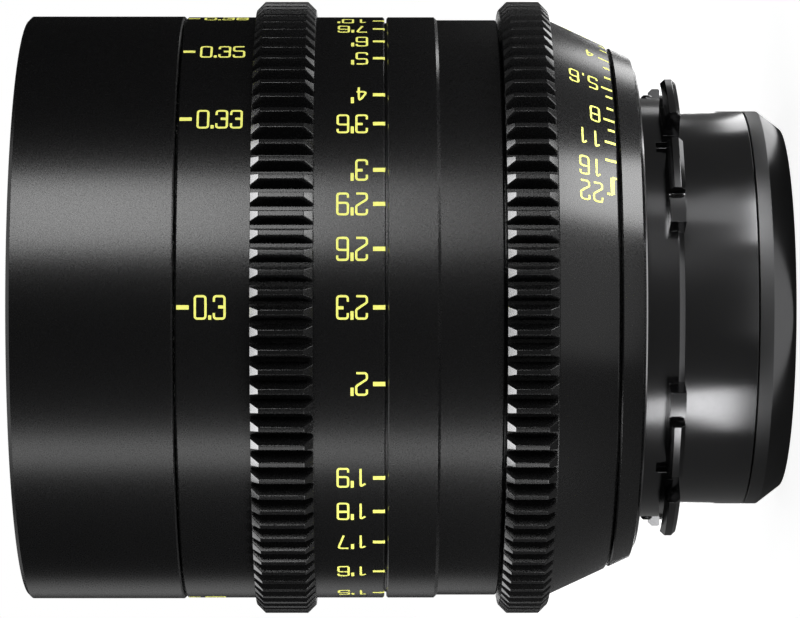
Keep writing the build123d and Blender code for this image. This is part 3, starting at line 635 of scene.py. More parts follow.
class Finishes:
    """The lens's own finishes."""

    BARREL = Finish(
        "satin_black_anodising", "barrel_black", (0.007, 0.007, 0.0073),
        metallic=0.0, roughness=0.27, depth=0.000003,
    )
    GEAR = replace(BARREL, name="gear_black_anodising")
    INSIDE = Finish(
        "matt_black_anodising", "inner_black", (0.012, 0.012, 0.013),
        metallic=0.0, roughness=0.62, swing=0.08, grain=0.0003, depth=0.000005, pitch=0.0004,
    )
    # Bright metal laid only on the front chamfers of the black anodised gear teeth: a painted highlight that
    # stands in for the overhead light.
    PAINTED_HIGHLIGHT = Finish("freshly_cut_aluminium", "barrel_black", (0.85, 0.85, 0.86), roughness=0.24, depth=0.000002)
    # A dimmer bright metal laid on chosen ring chamfers: a painted edge highlight on black anodised rings.
    PAINTED_EDGE_HIGHLIGHT = replace(PAINTED_HIGHLIGHT, name="bright_cut_edge", colour=(0.4, 0.4, 0.405), roughness=0.3)
    STEEL = Finish(
        "dark_polished_steel", "mount_steel", (0.09, 0.09, 0.092),
        roughness=0.17, swing=0.03, grain=0.0003, depth=0.0000005, pitch=0.00012, mark_depth=0.0000005,
    )
    SATIN = Finish(
        "dark_satin_steel", "mount_steel", (0.1, 0.1, 0.102), roughness=0.4, swing=0.03, grain=0.0003
    )
    SCREW = Finish("blackened_steel", "screw_steel", (0.2, 0.2, 0.205), swing=0.05, depth=0.000002)
    BRASS = Finish(
        "turned_brass", "roller_brass", (0.72, 0.52, 0.24), roughness=0.28, swing=0.05, pitch=0.0001
    )
    SHIM = Finish("rolled_brass", "shim_brass", (0.66, 0.5, 0.27), swing=0.06, grain=0.0004)
    BLADE = Finish(
        "blued_spring_steel", "blade_steel", (0.06, 0.062, 0.07), roughness=0.42, swing=0.06, grain=0.0004
    )
    GLIDE = Finish(
        "slide_plastic", "glide_plastic", (0.74, 0.73, 0.7),
        metallic=0.0, roughness=0.5, swing=0.06, grain=0.0004, depth=0.000003,
    )
    # Real yellow paint, with a painted glow that brightens the numerals beyond what the lamps give.
    PAINT = Finish(
        "luminous_yellow_paint", "barrel_black", (0.92, 0.92, 0.2),
        metallic=0.0, roughness=0.5, swing=0.05, grain=0.00012, depth=0.000003, glow=0.45,
    )
    GLASS = GlassFinish("coated_optical_glass", "coated_glass")


def dress(piece: Piece, body: str, finish: NamedFinish, replaced: Sequence[str] = ()) -> Piece:
    """Give a finished piece its material, its body and the nodes that it stands for.

    Args:
        piece: the piece, with its place in its mesh.
        body: the body that it rides on.
        finish: its finish.
        replaced: names of the nodes that it replaces.

    Returns:
        The same piece.
    """
    piece.data.materials.clear()
    piece.data.materials.append(finish.material())
    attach(piece, body)
    if replaced:
        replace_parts(piece, *replaced)
    log.info("%s rides on %s", piece.name, body)
    return piece


def paint_edge_highlight(piece: Piece, height: float, way: int) -> None:
    """Paint a highlight on a ring's broken edge, as bright metal on its chamfer faces.

    Args:
        piece: the dressed ring.
        height: height of the edge.
        way: 1 for an edge that faces the front, -1 for one that faces the rear.
    """
    piece.data.materials.append(Finishes.PAINTED_EDGE_HIGHLIGHT.material())
    for face in piece.data.polygons:
        inside = (height - face.center.z) * way
        if face.normal.z * way > EDGE_HIGHLIGHT_SLOPE and MERGE_DISTANCE < inside < EDGE_BREAK:
            face.material_index = 1


class Body(Enum):
    """The moving bodies of the lens that carry new pieces."""

    BARREL = "barrel"
    FOCUS = "focus_drive"
    GROUP = "focus_group"
    IRIS = "iris_drive"


class Reading(Enum):
    """The way a scale reads along the axis."""

    TO_MOUNT = -1
    TO_FRONT = 1


@dataclass(frozen=True)
class Band:
    """A turned surface that carries marks.

    Attributes:
        rear: radius and height of its rear edge.
        front: radius and height of its front edge.
    """

    rear: tuple[float, float]
    front: tuple[float, float]

    def radius(self, height: float) -> float:
        """Give the surface's radius at a height."""
        share = (height - self.rear[1]) / (self.front[1] - self.rear[1])
        return self.rear[0] + share * (self.front[0] - self.rear[0])

    def point(self, angle: float, height: float, lift: float) -> tuple[float, float, float]:
        """Give a point at an angle in radians and a height, lifted off the surface."""
        radius = self.radius(height) + lift
        return radius * sin(angle), -radius * cos(angle), height


STROKES: dict[str, tuple[tuple[tuple[float, float], ...], ...]] = {
    "0": (((0, 0), (1, 0), (1, 1), (0, 1), (0, 0)),),
    "1": (((0.15, 0.82), (0.6, 1), (0.6, 0)),),
    "2": (((0, 0.75), (0, 1), (1, 1), (1, 0.6), (0, 0.28), (0, 0), (1, 0)),),
    "3": (((0, 0.75), (0, 1), (1, 1), (1, 0), (0, 0), (0, 0.25)), ((0.4, 0.52), (1, 0.52))),
    "4": (((0.78, 0), (0.78, 1), (0, 0.3), (1, 0.3)),),
    "5": (((1, 1), (0, 1), (0, 0.56), (1, 0.56), (1, 0), (0, 0), (0, 0.2)),),
    "6": (((1, 0.8), (1, 1), (0, 1), (0, 0), (1, 0), (1, 0.55), (0, 0.55)),),
    "7": (((0, 1), (1, 1), (0.45, 0)),),
    "8": (((0, 0), (1, 0), (1, 1), (0, 1), (0, 0)), ((0, 0.52), (1, 0.52))),
    "9": (((1, 0.45), (0, 0.45), (0, 1), (1, 1), (1, 0), (0, 0), (0, 0.2)),),
}


@dataclass(frozen=True)
class Lettering:
    """Squared numerals with rounded corners, drawn with one even stroke.

    Attributes:
        width: width of a digit over its stroke.
        height: height of a digit over its stroke.
        stroke: width of the stroke.
        rounding: radius of the corners at the middle of the stroke.
        gap: gap between two digits.
        mark_gap: gap on each side of a point or a foot mark.
        mark_width: width of a point or a foot mark.
        point_height: height of a point.
        foot_height: height of a foot mark.
    """

    width: float = 0.00165
    height: float = 0.00315
    stroke: float = 0.00029
    rounding: float = 0.00036
    gap: float = 0.00025
    mark_gap: float = 0.00019
    mark_width: float = 0.0004
    point_height: float = 0.00056
    foot_height: float = 0.0011

    MIDDLE_SHARE = 0.5
    INFINITY_WIDTH_SHARE = 1.915
    INFINITY_HEIGHT_SHARE = 0.55

    def strokes(self, text: str) -> list[list[Corner]]:
        """Lay out a text.

        Args:
            text: digits, points, foot marks, or a whole infinity sign.

        Returns:
            The strokes' corners, from the start of the text and about its middle height.
        """
        laid: list[list[Corner]] = []
        start = 0.0
        for sign in text:
            if sign in STROKES:
                laid += [self.fitted(stroke, start, self.width, self.height) for stroke in STROKES[sign]]
                start += self.width + self.gap
            elif sign == "∞":
                laid += self.infinity(start)
            else:
                laid.append(self.small_mark(sign, start - self.gap + self.mark_gap))
                start += 2 * self.mark_gap + self.mark_width - self.gap
        return laid

    def fitted(
        self, stroke: Sequence[tuple[float, float]], start: float, width: float, height: float
    ) -> list[Corner]:
        """Fit a stroke of a unit cell to its place.

        Args:
            stroke: the stroke's corners, from 0 to 1 across the cell and up it.
            start: where the cell starts.
            width: width of the cell.
            height: height of the cell.

        Returns:
            The corners in their place.
        """
        start += self.stroke / 2
        width -= self.stroke
        height -= self.stroke
        middle = self.MIDDLE_SHARE
        return [Corner(start + x * width, (y - middle) * height, self.rounding) for x, y in stroke]

    def infinity(self, start: float) -> list[list[Corner]]:
        """Draw the infinity sign as two loops side by side.

        Args:
            start: where the sign starts.

        Returns:
            The two loops.
        """
        width = self.width * self.INFINITY_WIDTH_SHARE / 2
        height = self.height * self.INFINITY_HEIGHT_SHARE
        shift = width - self.stroke
        return [self.fitted(STROKES["0"][0], start + side * shift, width, height) for side in range(2)]

    def small_mark(self, sign: str, start: float) -> list[Corner]:
        """Draw a point at the foot of the line or a foot mark at its head.

        Args:
            sign: a point or a foot mark.
            start: where the mark starts.

        Returns:
            The mark's two ends.
        """
        middle = start + self.mark_width / 2
        if sign == ".":
            return [Corner(middle, -self.height / 2), Corner(middle, self.point_height - self.height / 2)]
        return [Corner(middle, self.height / 2 - self.foot_height), Corner(middle, self.height / 2)]


@dataclass
class Scale:
    """A painted scale on a band: numbers, and the dashes that they belong to.

    Attributes:
        name: name of its pieces.
        band: the surface that carries it.
        reading: the way that it reads.
        body: the body that it rides on.
        marks: each number and its angle.
        dash: heights of a dash's two ends.
        text_start: height at which the numbers start.
        lettering: the numerals.
        dash_width: width of a dash.
        short_dashes: angles of dashes with no number.
        short_dash: heights of a short dash's two ends.
        shifts: how far some numbers stand from their dash, in degrees.
        undashed: numbers whose mark isn't a dash.
    """

    name: str
    band: Band
    reading: Reading
    body: Body
    marks: dict[str, float]
    dash: tuple[float, float]
    text_start: float
    lettering: Lettering = field(default_factory=Lettering)
    dash_width: float = 0.00057
    short_dashes: tuple[float, ...] = ()
    short_dash: tuple[float, float] = (0.0, 0.0)
    shifts: dict[str, float] = field(default_factory=dict)
    undashed: tuple[str, ...] = ()

    ANGLE_ATTRIBUTE = "turn"
    RISE = 0.00002
    SINK = 0.00008
    LONGEST_STEP = 0.0006
    LAYER = 0.000001

    def build(self, tree: Tree) -> None:
        """Paint the numbers and the dashes.

        Args:
            tree: the tree that repeats a mark.
        """
        numbers = bmesh.new()
        for text, mark_angle in self.marks.items():
            angle = mark_angle + self.shifts.get(text, 0.0)
            for layer, stroke in enumerate(self.lettering.strokes(text)):
                width = self.lettering.mark_width if len(stroke) == 2 else self.lettering.stroke
                self.paint(numbers, stroke, width, radians(angle), self.text_start, layer)
        dress(closed_object(f"{self.name}_numbers", numbers), self.body.value, Finishes.PAINT)
        dashed = tuple(angle for text, angle in self.marks.items() if text not in self.undashed)
        self.dashes(tree, "dashes", dashed, self.dash)
        if self.short_dashes:
            self.dashes(tree, "short_dashes", self.short_dashes, self.short_dash)

    def dashes(self, tree: Tree, kind: str, angles: Sequence[float], ends: tuple[float, float]) -> None:
        """Paint one kind of dash at each of its angles.

        Args:
            tree: the tree that repeats a mark.
            kind: the end of the piece's name.
            angles: the dashes' angles.
            ends: heights of a dash's two ends.
        """
        single = bmesh.new()
        path = [Corner(0, 0), Corner(abs(ends[1] - ends[0]), 0)]
        self.paint(single, path, self.dash_width, 0.0, ends[0], 0)
        mark = closed_object(f"{self.name}_{kind}_mark", single)
        points = bpy.data.meshes.new(f"{self.name}_{kind}")
        points.from_pydata([(0, 0, 0)] * len(angles), [], [])
        carried = points.attributes.new(self.ANGLE_ATTRIBUTE, "FLOAT", "POINT")
        carried.data.foreach_set("value", [radians(angle) for angle in angles])
        piece = grown(placed(points.name, points), tree, mark=mark, material=Finishes.PAINT.material())
        bpy.data.objects.remove(mark)
        dress(piece, self.body.value, Finishes.PAINT)

    def paint(
        self, shape: Shape, stroke: Sequence[Corner], width: float, angle: float, start: float, layer: int
    ) -> None:
        """Lay a closed ribbon of paint along a stroke.

        Args:
            shape: the mesh that it is added to.
            stroke: the stroke's corners.
            width: width of the ribbon.
            angle: angle of the mark, in radians.
            start: height at which the stroke's own zero lies.
            layer: number of strokes already laid in this mark.
        """
        closed = (stroke[0].across, stroke[0].along) == (stroke[-1].across, stroke[-1].along)
        path = refined(rounded(stroke[:-1] if closed else stroke, closed), closed, self.LONGEST_STEP)
        way = self.reading.value
        rows = []
        for left, right in edges_of(path, width / 2, closed):
            corners = ((left, self.RISE), (right, self.RISE), (right, -self.SINK), (left, -self.SINK))
            row = []
            for flat, lift in corners:
                height = start + way * flat.x
                turn = angle - way * flat.y / self.band.radius(height)
                row.append(shape.verts.new(self.band.point(turn, height, lift + layer * self.LAYER)))
            rows.append(row)
        pairs = list(zip(rows, rows[1:]))
        if closed:
            pairs.append((rows[-1], rows[0]))
        else:
            shape.faces.new(rows[0])
            shape.faces.new(rows[-1])
        for row, following in pairs:
            for side in range(len(row)):
                after = (side + 1) % len(row)
                shape.faces.new((row[side], row[after], following[after], following[side]))


def refined(path: Sequence[Vector], closed: bool, longest: float) -> list[Vector]:
    """Split a path's long stretches so that it can follow a curved surface.

    Args:
        path: the points in order.
        closed: whether the last point joins the first.
        longest: the longest stretch that stays whole.

    Returns:
        The points with the new ones among them.
    """
    ends = list(path[1:]) + ([path[0]] if closed else [])
    points: list[Vector] = []
    for here, there in zip(path, ends):
        steps = max(1, round((there - here).length / longest))
        points += [here.lerp(there, step / steps) for step in range(steps)]
    return points if closed else [*points, path[-1]]


def edges_of(path: Sequence[Vector], reach: float, closed: bool) -> list[tuple[Vector, Vector]]:
    """Give the left and right edge of a ribbon at each point of its path.

    Args:
        path: the points in order.
        reach: half the ribbon's width.
        closed: whether the last point joins the first.

    Returns:
        A left and a right point for each point of the path.
    """
    edges = []
    for index, here in enumerate(path):
        before = path[index - 1] if closed or index else here
        after = path[(index + 1) % len(path)] if closed or index < len(path) - 1 else here
        back, ahead = (here - before), (after - here)
        way = (back.normalized() + ahead.normalized()).normalized()
        bend = way.dot(ahead.normalized() if ahead.length else back.normalized())
        side = Vector((-way.y, way.x)) * reach / max(bend, LEAST_BEND)
        edges.append((here + side, here - side))
    return edges


def index_lines(
    name: str, band: Band, ends: tuple[float, float], tree: Tree, width: float = Scale.dash_width
) -> None:
    """Paint the fixed lines at the top and the bottom of the lens.

    Args:
        name: name of the piece, before "_lines".
        band: the surface that carries them.
        ends: heights of a line's start and end.
        tree: the tree that repeats a mark.
        width: width of a line.
    """
    reading = Reading.TO_FRONT if ends[0] < ends[1] else Reading.TO_MOUNT
    lines = Scale(name, band, reading, Body.BARREL, {}, ends, ends[0], dash_width=width)
    lines.dashes(tree, "lines", INDEX_ANGLES, ends)


@dataclass
class Gear:
    """A ring of straight-flanked teeth with chamfered ends.

    Attributes:
        name: name of the piece.
        body: the body that it rides on.
        rear: height of its rear end.
        front: height of its front end.
        module: gear module.
        teeth: number of teeth.
        chamfer: chamfer of the teeth's ends.
        edge: width of the broken edges.
    """

    name: str
    body: Body
    rear: float
    front: float
    module: float = 0.0008
    teeth: int = 103
    chamfer: float = 0.00115
    edge: float = 0.00007

    # The front chamfer faces, which face the overhead light, get bright metal as a painted highlight.
    HIGHLIGHT_ATTRIBUTE = "cut"
    HIGHLIGHT_TILT = (0.6, 0.8)
    HIGHLIGHT_SIDEWAYS = 0.2
    DEDENDUM_SHARE = 1.25
    FLANK_LEAN = tan(radians(20))

    @property
    def pitch_radius(self) -> float:
        """Radius at which a tooth is as wide as a gap."""
        return self.module * self.teeth / 2

    @property
    def tip(self) -> float:
        """Outside radius."""
        return self.pitch_radius + self.module

    @property
    def root(self) -> float:
        """Radius between the teeth."""
        return self.pitch_radius - self.DEDENDUM_SHARE * self.module

    def half_width(self, radius: float) -> float:
        """Give half a tooth's width at a radius."""
        return pi * self.module / 4 - (radius - self.pitch_radius) * self.FLANK_LEAN

    def tooth(self) -> Shape:
        """Make one tooth on the +X side.

        Returns:
            The tooth's closed mesh.
        """
        foot = self.root - HIDDEN_DEPTH
        shoulder = self.tip - self.chamfer
        profile = (
            (foot, self.rear),
            (shoulder, self.rear),
            (self.tip, self.rear + self.chamfer),
            (self.tip, self.front - self.chamfer),
            (shoulder, self.front),
            (foot, self.front),
        )
        shape = bmesh.new()
        sides = [
            [shape.verts.new((radius, side * self.half_width(radius), height)) for radius, height in profile]
            for side in (-1, 1)
        ]
        shape.faces.new(sides[0])
        shape.faces.new(list(reversed(sides[1])))
        for index in range(len(profile)):
            after = (index + 1) % len(profile)
            shape.faces.new((sides[0][after], sides[0][index], sides[1][index], sides[1][after]))
        bmesh.ops.recalc_face_normals(shape, faces=shape.faces)
        rounding = {"segments": EDGE_SEGMENTS, "profile": ROUND_PROFILE, "affect": "EDGES"}
        bmesh.ops.bevel(shape, geom=shape.edges, offset=self.edge, **rounding)
        return shape

    def is_cut(self, normal: Vector) -> bool:
        """Tell whether a face with this normal is the front chamfer, which gets the painted highlight."""
        low, high = self.HIGHLIGHT_TILT
        return low < normal.z < high and abs(normal.y) < self.HIGHLIGHT_SIDEWAYS

    def build(self, tree: Tree) -> None:
        """Make all the teeth.

        Args:
            tree: the tree that repeats a piece round the axis.
        """
        piece = level_shading(new_object(self.name, self.tooth()))
        # Mark the front chamfers for the painted-highlight metal.
        cut = piece.data.attributes.new(self.HIGHLIGHT_ATTRIBUTE, "BOOLEAN", "FACE")
        cut.data.foreach_set("value", [self.is_cut(face.normal) for face in piece.data.polygons])
        grown(
            piece,
            tree,
            count=self.teeth,
            first_angle=0.0,
            step_angle=FULL_TURN / self.teeth,
            material=Finishes.GEAR.material(),
            cut_material=Finishes.PAINTED_HIGHLIGHT.material(),
        )
        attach(piece, self.body.value)
        log.info("%s rides on %s", piece.name, self.body.value)


def height_range(node: str) -> tuple[float, float]:
    """Give the lowest and highest height of a node."""
    low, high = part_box(node)
    return low.z, high.z


@dataclass
class FrontBarrel:
    """The front of the barrel, with the filter thread and the guard ring in it."""

    radius: float = 0.04
    edge_chamfer: float = 0.0005
    bore: float = 0.0382
    thread_bottom: float = 0.08335
    thread_top: float = 0.0872
    thread_pitch: float = 0.00075
    thread_depth: float = 0.00045
    wide_bore: float = 0.03735
    shoulder: float = 0.07
    rear_bore: float = 0.03335
    guard_inner: float = 0.0325
    guard_thickness: float = 0.001
    guard_steps: int = 5
    line_gap: float = 0.0003
    line_reach: float = 0.0016

    def build(self, marks: Tree) -> None:
        """Make the barrel, its index lines and the guard ring.

        Args:
            marks: the tree that repeats a mark.
        """
        rear, front = height_range("front_barrel")
        corners = [
            Corner(self.rear_bore, rear),
            *broken_edge(self.radius, rear, -1),
            Corner(self.radius, front - self.edge_chamfer, RING_EDGE),
            Corner(self.radius - self.edge_chamfer, front, RING_EDGE),
            Corner(self.bore + self.edge_chamfer, front, RING_EDGE),
            Corner(self.bore, self.thread_top),
            *self.thread(),
            Corner(self.bore, self.thread_bottom),
            Corner(self.wide_bore, self.thread_bottom),
            Corner(self.wide_bore, self.shoulder),
            Corner(self.rear_bore, self.shoulder),
        ]
        dress(turned("front_sleeve", corners), Body.BARREL.value, Finishes.BARREL, ["front_barrel"])
        self.guard()
        start = rear + self.line_gap
        band = Band((self.radius, rear), (self.radius, front))
        index_lines("front_index", band, (start + self.line_reach, start), marks)

    def thread(self) -> list[Corner]:
        """Give the grooves of the filter thread, from the top down.

        Returns:
            The grooves' corners.
        """
        grooves = []
        count = int((self.thread_top - self.thread_bottom) / self.thread_pitch)
        for index in range(count):
            top = self.thread_top - index * self.thread_pitch
            grooves.append(Corner(self.bore + self.thread_depth, top - self.thread_pitch / 2))
            grooves.append(Corner(self.bore, top - self.thread_pitch))
        return grooves

    def guard(self) -> None:
        """Make the bare conical ring, with light-trapping steps."""
        low, high = height_range("guard_ring")
        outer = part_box("guard_ring")[1].x
        corners = [Corner(self.guard_inner, low), Corner(outer, low), Corner(outer, high)]
        run = (outer - self.guard_thickness - self.guard_inner) / self.guard_steps
        rise = (high - low - self.guard_thickness) / self.guard_steps
        for index in range(self.guard_steps):
            radius = outer - self.guard_thickness - index * run
            height = high - index * rise
            corners.append(Corner(radius, height))
            corners.append(Corner(radius, height - rise))
        corners.append(Corner(self.guard_inner, low + self.guard_thickness))
        dress(turned("bare_guard_ring", corners), Body.BARREL.value, Finishes.INSIDE, ["guard_ring"])


@dataclass
class FocusRing:
    """The focus ring: the metre scale in front of its gear and the foot scale behind it."""

    radius: float = 0.0399
    bore: float = 0.0365
    gear_rear: float = 0.0485
    gear_front: float = 0.0566
    metre_dash: tuple[float, float] = (0.0659, 0.06431)
    metre_text: float = 0.06368
    foot_dash: tuple[float, float] = (0.03925, 0.04082)
    foot_text: float = 0.04146

    METRES = {
        "0.3": 0.0, "0.33": 37.7, "0.35": 58.0, "0.38": 80.0, "0.4": 92.0, "0.45": 115.0,
        "0.5": 135.5, "0.6": 163.5, "0.7": -177.8, "0.8": -164.6, "1": -147.5, "1.5": -125.2,
        "2": -114.5, "3": -103.8, "5": -95.1, "∞": -82.0,
    }
    FEET = {
        "∞": 98.0, "10'": 76.5, "7'6": 69.5, "6'": 62.5, "5'": 55.5, "4'": 44.0, "3'6": 36.6,
        "3'": 26.3, "2'9": 19.4, "2'6": 10.8, "2'3": 0.0, "2'": -14.2, "1'9": -33.5, "1'8": -41.7,
        "1'7": -50.5, "1'6": -61.5, "1'5": -75.0, "1'4": -90.0, "1'3": -107.0, "1'2": -126.0,
        "1'1": -148.0, "1'": -173.0,
    }

    def build(self, ring: Tree, marks: Tree) -> None:
        """Make the ring, its teeth and its two scales.

        Args:
            ring: the tree that repeats a tooth round the axis.
            marks: the tree that repeats a mark.
        """
        rear, front = height_range("focus_ring")
        gear = Gear("focus_teeth", Body.FOCUS, self.gear_rear, self.gear_front)
        corners = [
            Corner(self.bore, rear),
            *broken_edge(self.radius, rear, -1),
            Corner(self.radius, self.gear_rear),
            Corner(gear.root, self.gear_rear, SOFT_EDGE),
            Corner(gear.root, self.gear_front, SOFT_EDGE),
            Corner(self.radius, self.gear_front),
            *broken_edge(self.radius, front, 1),
            Corner(self.bore, front),
        ]
        dress(turned("focus_sleeve", corners), Body.FOCUS.value, Finishes.BARREL, ["focus_ring"])
        gear.build(ring)
        band = Band((self.radius, rear), (self.radius, front))
        scales = (
            ("metre_scale", Reading.TO_MOUNT, self.METRES, self.metre_dash, self.metre_text),
            ("foot_scale", Reading.TO_FRONT, self.FEET, self.foot_dash, self.foot_text),
        )
        for name, reading, numbers, dash, text_start in scales:
            Scale(name, band, reading, Body.FOCUS, numbers, dash, text_start).build(marks)


@dataclass
class MiddleBarrel:
    """The fixed sleeve between the gear rings, with the step in its outside."""

    rear_radius: float = 0.0395
    front_radius: float = 0.0399
    chamfer: float = 0.0004
    step: float = 0.0325
    bore: float = 0.0333
    spigot: float = 0.0365
    ring_rear: float = 0.02395
    land_front: float = 0.02795
    line_reach: float = 0.0016
    line_gap: float = 0.0002
    lip_radius: float = 0.0391
    lip_reach: float = 0.00025

    def build(self, marks: Tree) -> None:
        """Make the sleeve, with the lip that closes the seam, and its index lines.

        Args:
            marks: the tree that repeats a mark.
        """
        rear, front = height_range("mid_barrel")
        corners = [
            Corner(self.bore, rear),
            Corner(self.spigot, rear),
            Corner(self.spigot, self.ring_rear),
            *broken_edge(self.rear_radius, self.ring_rear, -1),
            Corner(self.rear_radius, self.step - self.chamfer),
            Corner(self.front_radius, self.step, SOFT_EDGE),
            *broken_edge(self.front_radius, front, 1),
            Corner(self.lip_radius, front),
            Corner(self.lip_radius, front + self.lip_reach),
            Corner(self.spigot, front + self.lip_reach),
            Corner(self.spigot, self.land_front),
            Corner(self.bore, self.land_front),
        ]
        sleeve = dress(turned("middle_sleeve", corners), Body.BARREL.value, Finishes.BARREL, ["mid_barrel"])
        # The sleeve's front edge gets the painted edge highlight.
        paint_edge_highlight(sleeve, front, 1)
        end = front - self.line_gap
        band = Band((self.front_radius, self.step), (self.front_radius, front))
        index_lines("middle_index", band, (end - self.line_reach, end), marks)


@dataclass
class IrisRing:
    """The iris ring: the stop scale on its cone, and its gear."""

    rear_radius: float = 0.035862
    radius: float = 0.0395
    cone_front: float = 0.0169
    bore: float = 0.03338
    land_front: float = 0.01365
    wide_bore: float = 0.0367
    gear_rear: float = 0.01705
    dash: tuple[float, float] = (0.0092, 0.01065)
    short_dash: tuple[float, float] = (0.00925, 0.01015)
    dash_width: float = 0.00038
    text_start: float = 0.0111

    NUMERALS = Lettering(
        width=0.00135, height=0.00287, stroke=0.00025, gap=0.00036, mark_gap=0.00046, mark_width=0.00025
    )
    STOPS = {
        "22": 25.7, "16": 31.6, "11": 36.2, "8": 42.4, "5.6": 52.7, "4": 66.2, "2.8": 85.5, "2.1": 107.0,
    }
    SHIFTS = {"22": -2.1, "16": -2.5, "8": 0.6, "5.6": 0.4}
    HALF_STOPS = (39.6, 46.0, 49.9, 57.2, 61.8, 73.0, 77.8, 92.0, 99.0)
    BRACKET_ANGLES = (23.7, 27.5)
    BRACKET_TABS = (0.0106, 0.0092)
    BRACKET_MIDDLE = 0.00982
    BRACKET_WIDTH = 0.00055
    TAB_WIDTH = 0.0003

    def build(self, ring: Tree, marks: Tree) -> None:
        """Make the ring, its teeth and the stop scale.

        Args:
            ring: the tree that repeats a tooth round the axis.
            marks: the tree that repeats a mark.
        """
        rear, front = height_range("iris_ring")
        gear = Gear("iris_teeth", Body.IRIS, self.gear_rear, front)
        slope = (self.radius - self.rear_radius) / (self.cone_front - rear)
        corners = [
            Corner(self.bore, rear),
            *broken_edge(self.rear_radius, rear, -1, slope),
            Corner(self.radius, self.cone_front, RING_EDGE),
            Corner(self.radius, self.gear_rear),
            Corner(gear.root, self.gear_rear, SOFT_EDGE),
            Corner(gear.root, front, SOFT_EDGE),
            Corner(self.wide_bore, front),
            Corner(self.wide_bore, self.land_front),
            Corner(self.bore, self.land_front),
        ]
        dress(turned("iris_sleeve", corners), Body.IRIS.value, Finishes.BARREL, ["iris_ring"])
        gear.build(ring)
        scale = Scale(
            "stop_scale",
            Band((self.rear_radius, rear), (self.radius, self.cone_front)),
            Reading.TO_FRONT,
            Body.IRIS,
            self.STOPS,
            self.dash,
            self.text_start,
            self.NUMERALS,
            self.dash_width,
            self.HALF_STOPS,
            self.short_dash,
            self.SHIFTS,
            undashed=("22",),
        )
        scale.build(marks)
        self.bracket(scale)

    def bracket(self, scale: Scale) -> None:
        """Paint the stepped bracket that marks the smallest stop.

        Args:
            scale: the stop scale.
        """
        shape = bmesh.new()
        low, high = (radians(angle) for angle in self.BRACKET_ANGLES)
        reach = (high - low) * scale.band.radius(self.BRACKET_MIDDLE) / 2
        bar = [Corner(0, -reach), Corner(0, reach)]
        scale.paint(shape, bar, self.BRACKET_WIDTH, (low + high) / 2, self.BRACKET_MIDDLE, 0)
        for angle, end in zip((low, high), self.BRACKET_TABS):
            tab = [Corner(0, 0), Corner(end - self.BRACKET_MIDDLE, 0)]
            scale.paint(shape, tab, self.TAB_WIDTH, angle, self.BRACKET_MIDDLE, 1)
        dress(closed_object("stop_scale_bracket", shape), scale.body.value, Finishes.PAINT)


@dataclass
class Mount:
    """The mount: conical trim ring, flange with its bayonet ears, and the rear ring."""

    trim_bore: float = 0.0317
    trim_rear_radius: float = 0.0332
    trim_corner: tuple[float, float] = (0.0344, 0.00585)
    trim_front_radius: float = 0.0357
    line_reach: float = 0.0028
    line_gap: float = 0.0003
    line_width: float = 0.0005

    def build(self, marks: Tree) -> None:
        """Make the trim ring with its index line, the mount and the rear ring.

        Args:
            marks: the tree that repeats a mark.
        """
        rear, front = height_range("rear_trim_ring")
        slope = (self.trim_front_radius - self.trim_corner[0]) / (front - self.trim_corner[1])
        corners = [
            Corner(self.trim_bore, rear),
            *broken_edge(self.trim_rear_radius, rear, -1),
            Corner(*self.trim_corner, SOFT_EDGE),
            *broken_edge(self.trim_front_radius, front, 1, slope),
            Corner(self.trim_bore, front),
        ]
        cone = dress(turned("trim_cone", corners), Body.BARREL.value, Finishes.BARREL, ["rear_trim_ring"])
        # The cone's rear edge gets the painted edge highlight.
        paint_edge_highlight(cone, rear, -1)
        start = front - self.line_gap
        band = Band(self.trim_corner, (self.trim_front_radius, front))
        index_lines("stop_index", band, (start, start - self.line_reach), marks, self.line_width)
        dress(softened("bayonet_mount", "pl_mount"), Body.BARREL.value, Finishes.STEEL, ["pl_mount"])
        edge_ring = softened("rear_edge_ring", "rear_ring", SLIGHT_CREASE)
        dress(edge_ring, Body.BARREL.value, Finishes.SATIN, ["rear_ring"])
        dress(softened("neck_heads", "neck_buttons"), Body.BARREL.value, Finishes.STEEL, ["neck_buttons"])


@dataclass(frozen=True)
class Element:
    """A lens element with flat rims and spherical surfaces.

    Attributes:
        name: name of the piece.
        node: the node that it stands for.
        body: the body that it rides on.
        radius: radius of its rim.
        rims: heights of its rear and front rim.
        sags: how far each surface's middle stands ahead of its rim.
    """

    name: str
    node: str
    body: Body
    radius: float
    rims: tuple[float, float]
    sags: tuple[float, float]

    LAND = 0.0017
    STEPS = 28

    def surface(self, rim: float, sag: float) -> list[Vector]:
        """Give half of a surface, from the axis out to its rim.

        Args:
            rim: height of the surface's rim.
            sag: how far its middle stands ahead of the rim.

        Returns:
            The points of (radius, height).
        """
        clear = self.radius - self.LAND
        ball = (clear**2 + sag**2) / (2 * sag)
        points = []
        for step in range(self.STEPS + 1):
            across = clear * step / self.STEPS
            depth = abs(ball) - sqrt(ball**2 - across**2)
            points.append(Vector((across, rim + sag - (depth if sag > 0 else -depth))))
        return points

    def build(self) -> None:
        """Make the element."""
        rear = self.surface(self.rims[0], self.sags[0])
        front = self.surface(self.rims[1], self.sags[1])
        rim = [Vector((self.radius, self.rims[0])), Vector((self.radius, self.rims[1]))]
        piece = turned_line(self.name, rear + rim + list(reversed(front)))
        dress(piece, self.body.value, Finishes.GLASS, [self.node])


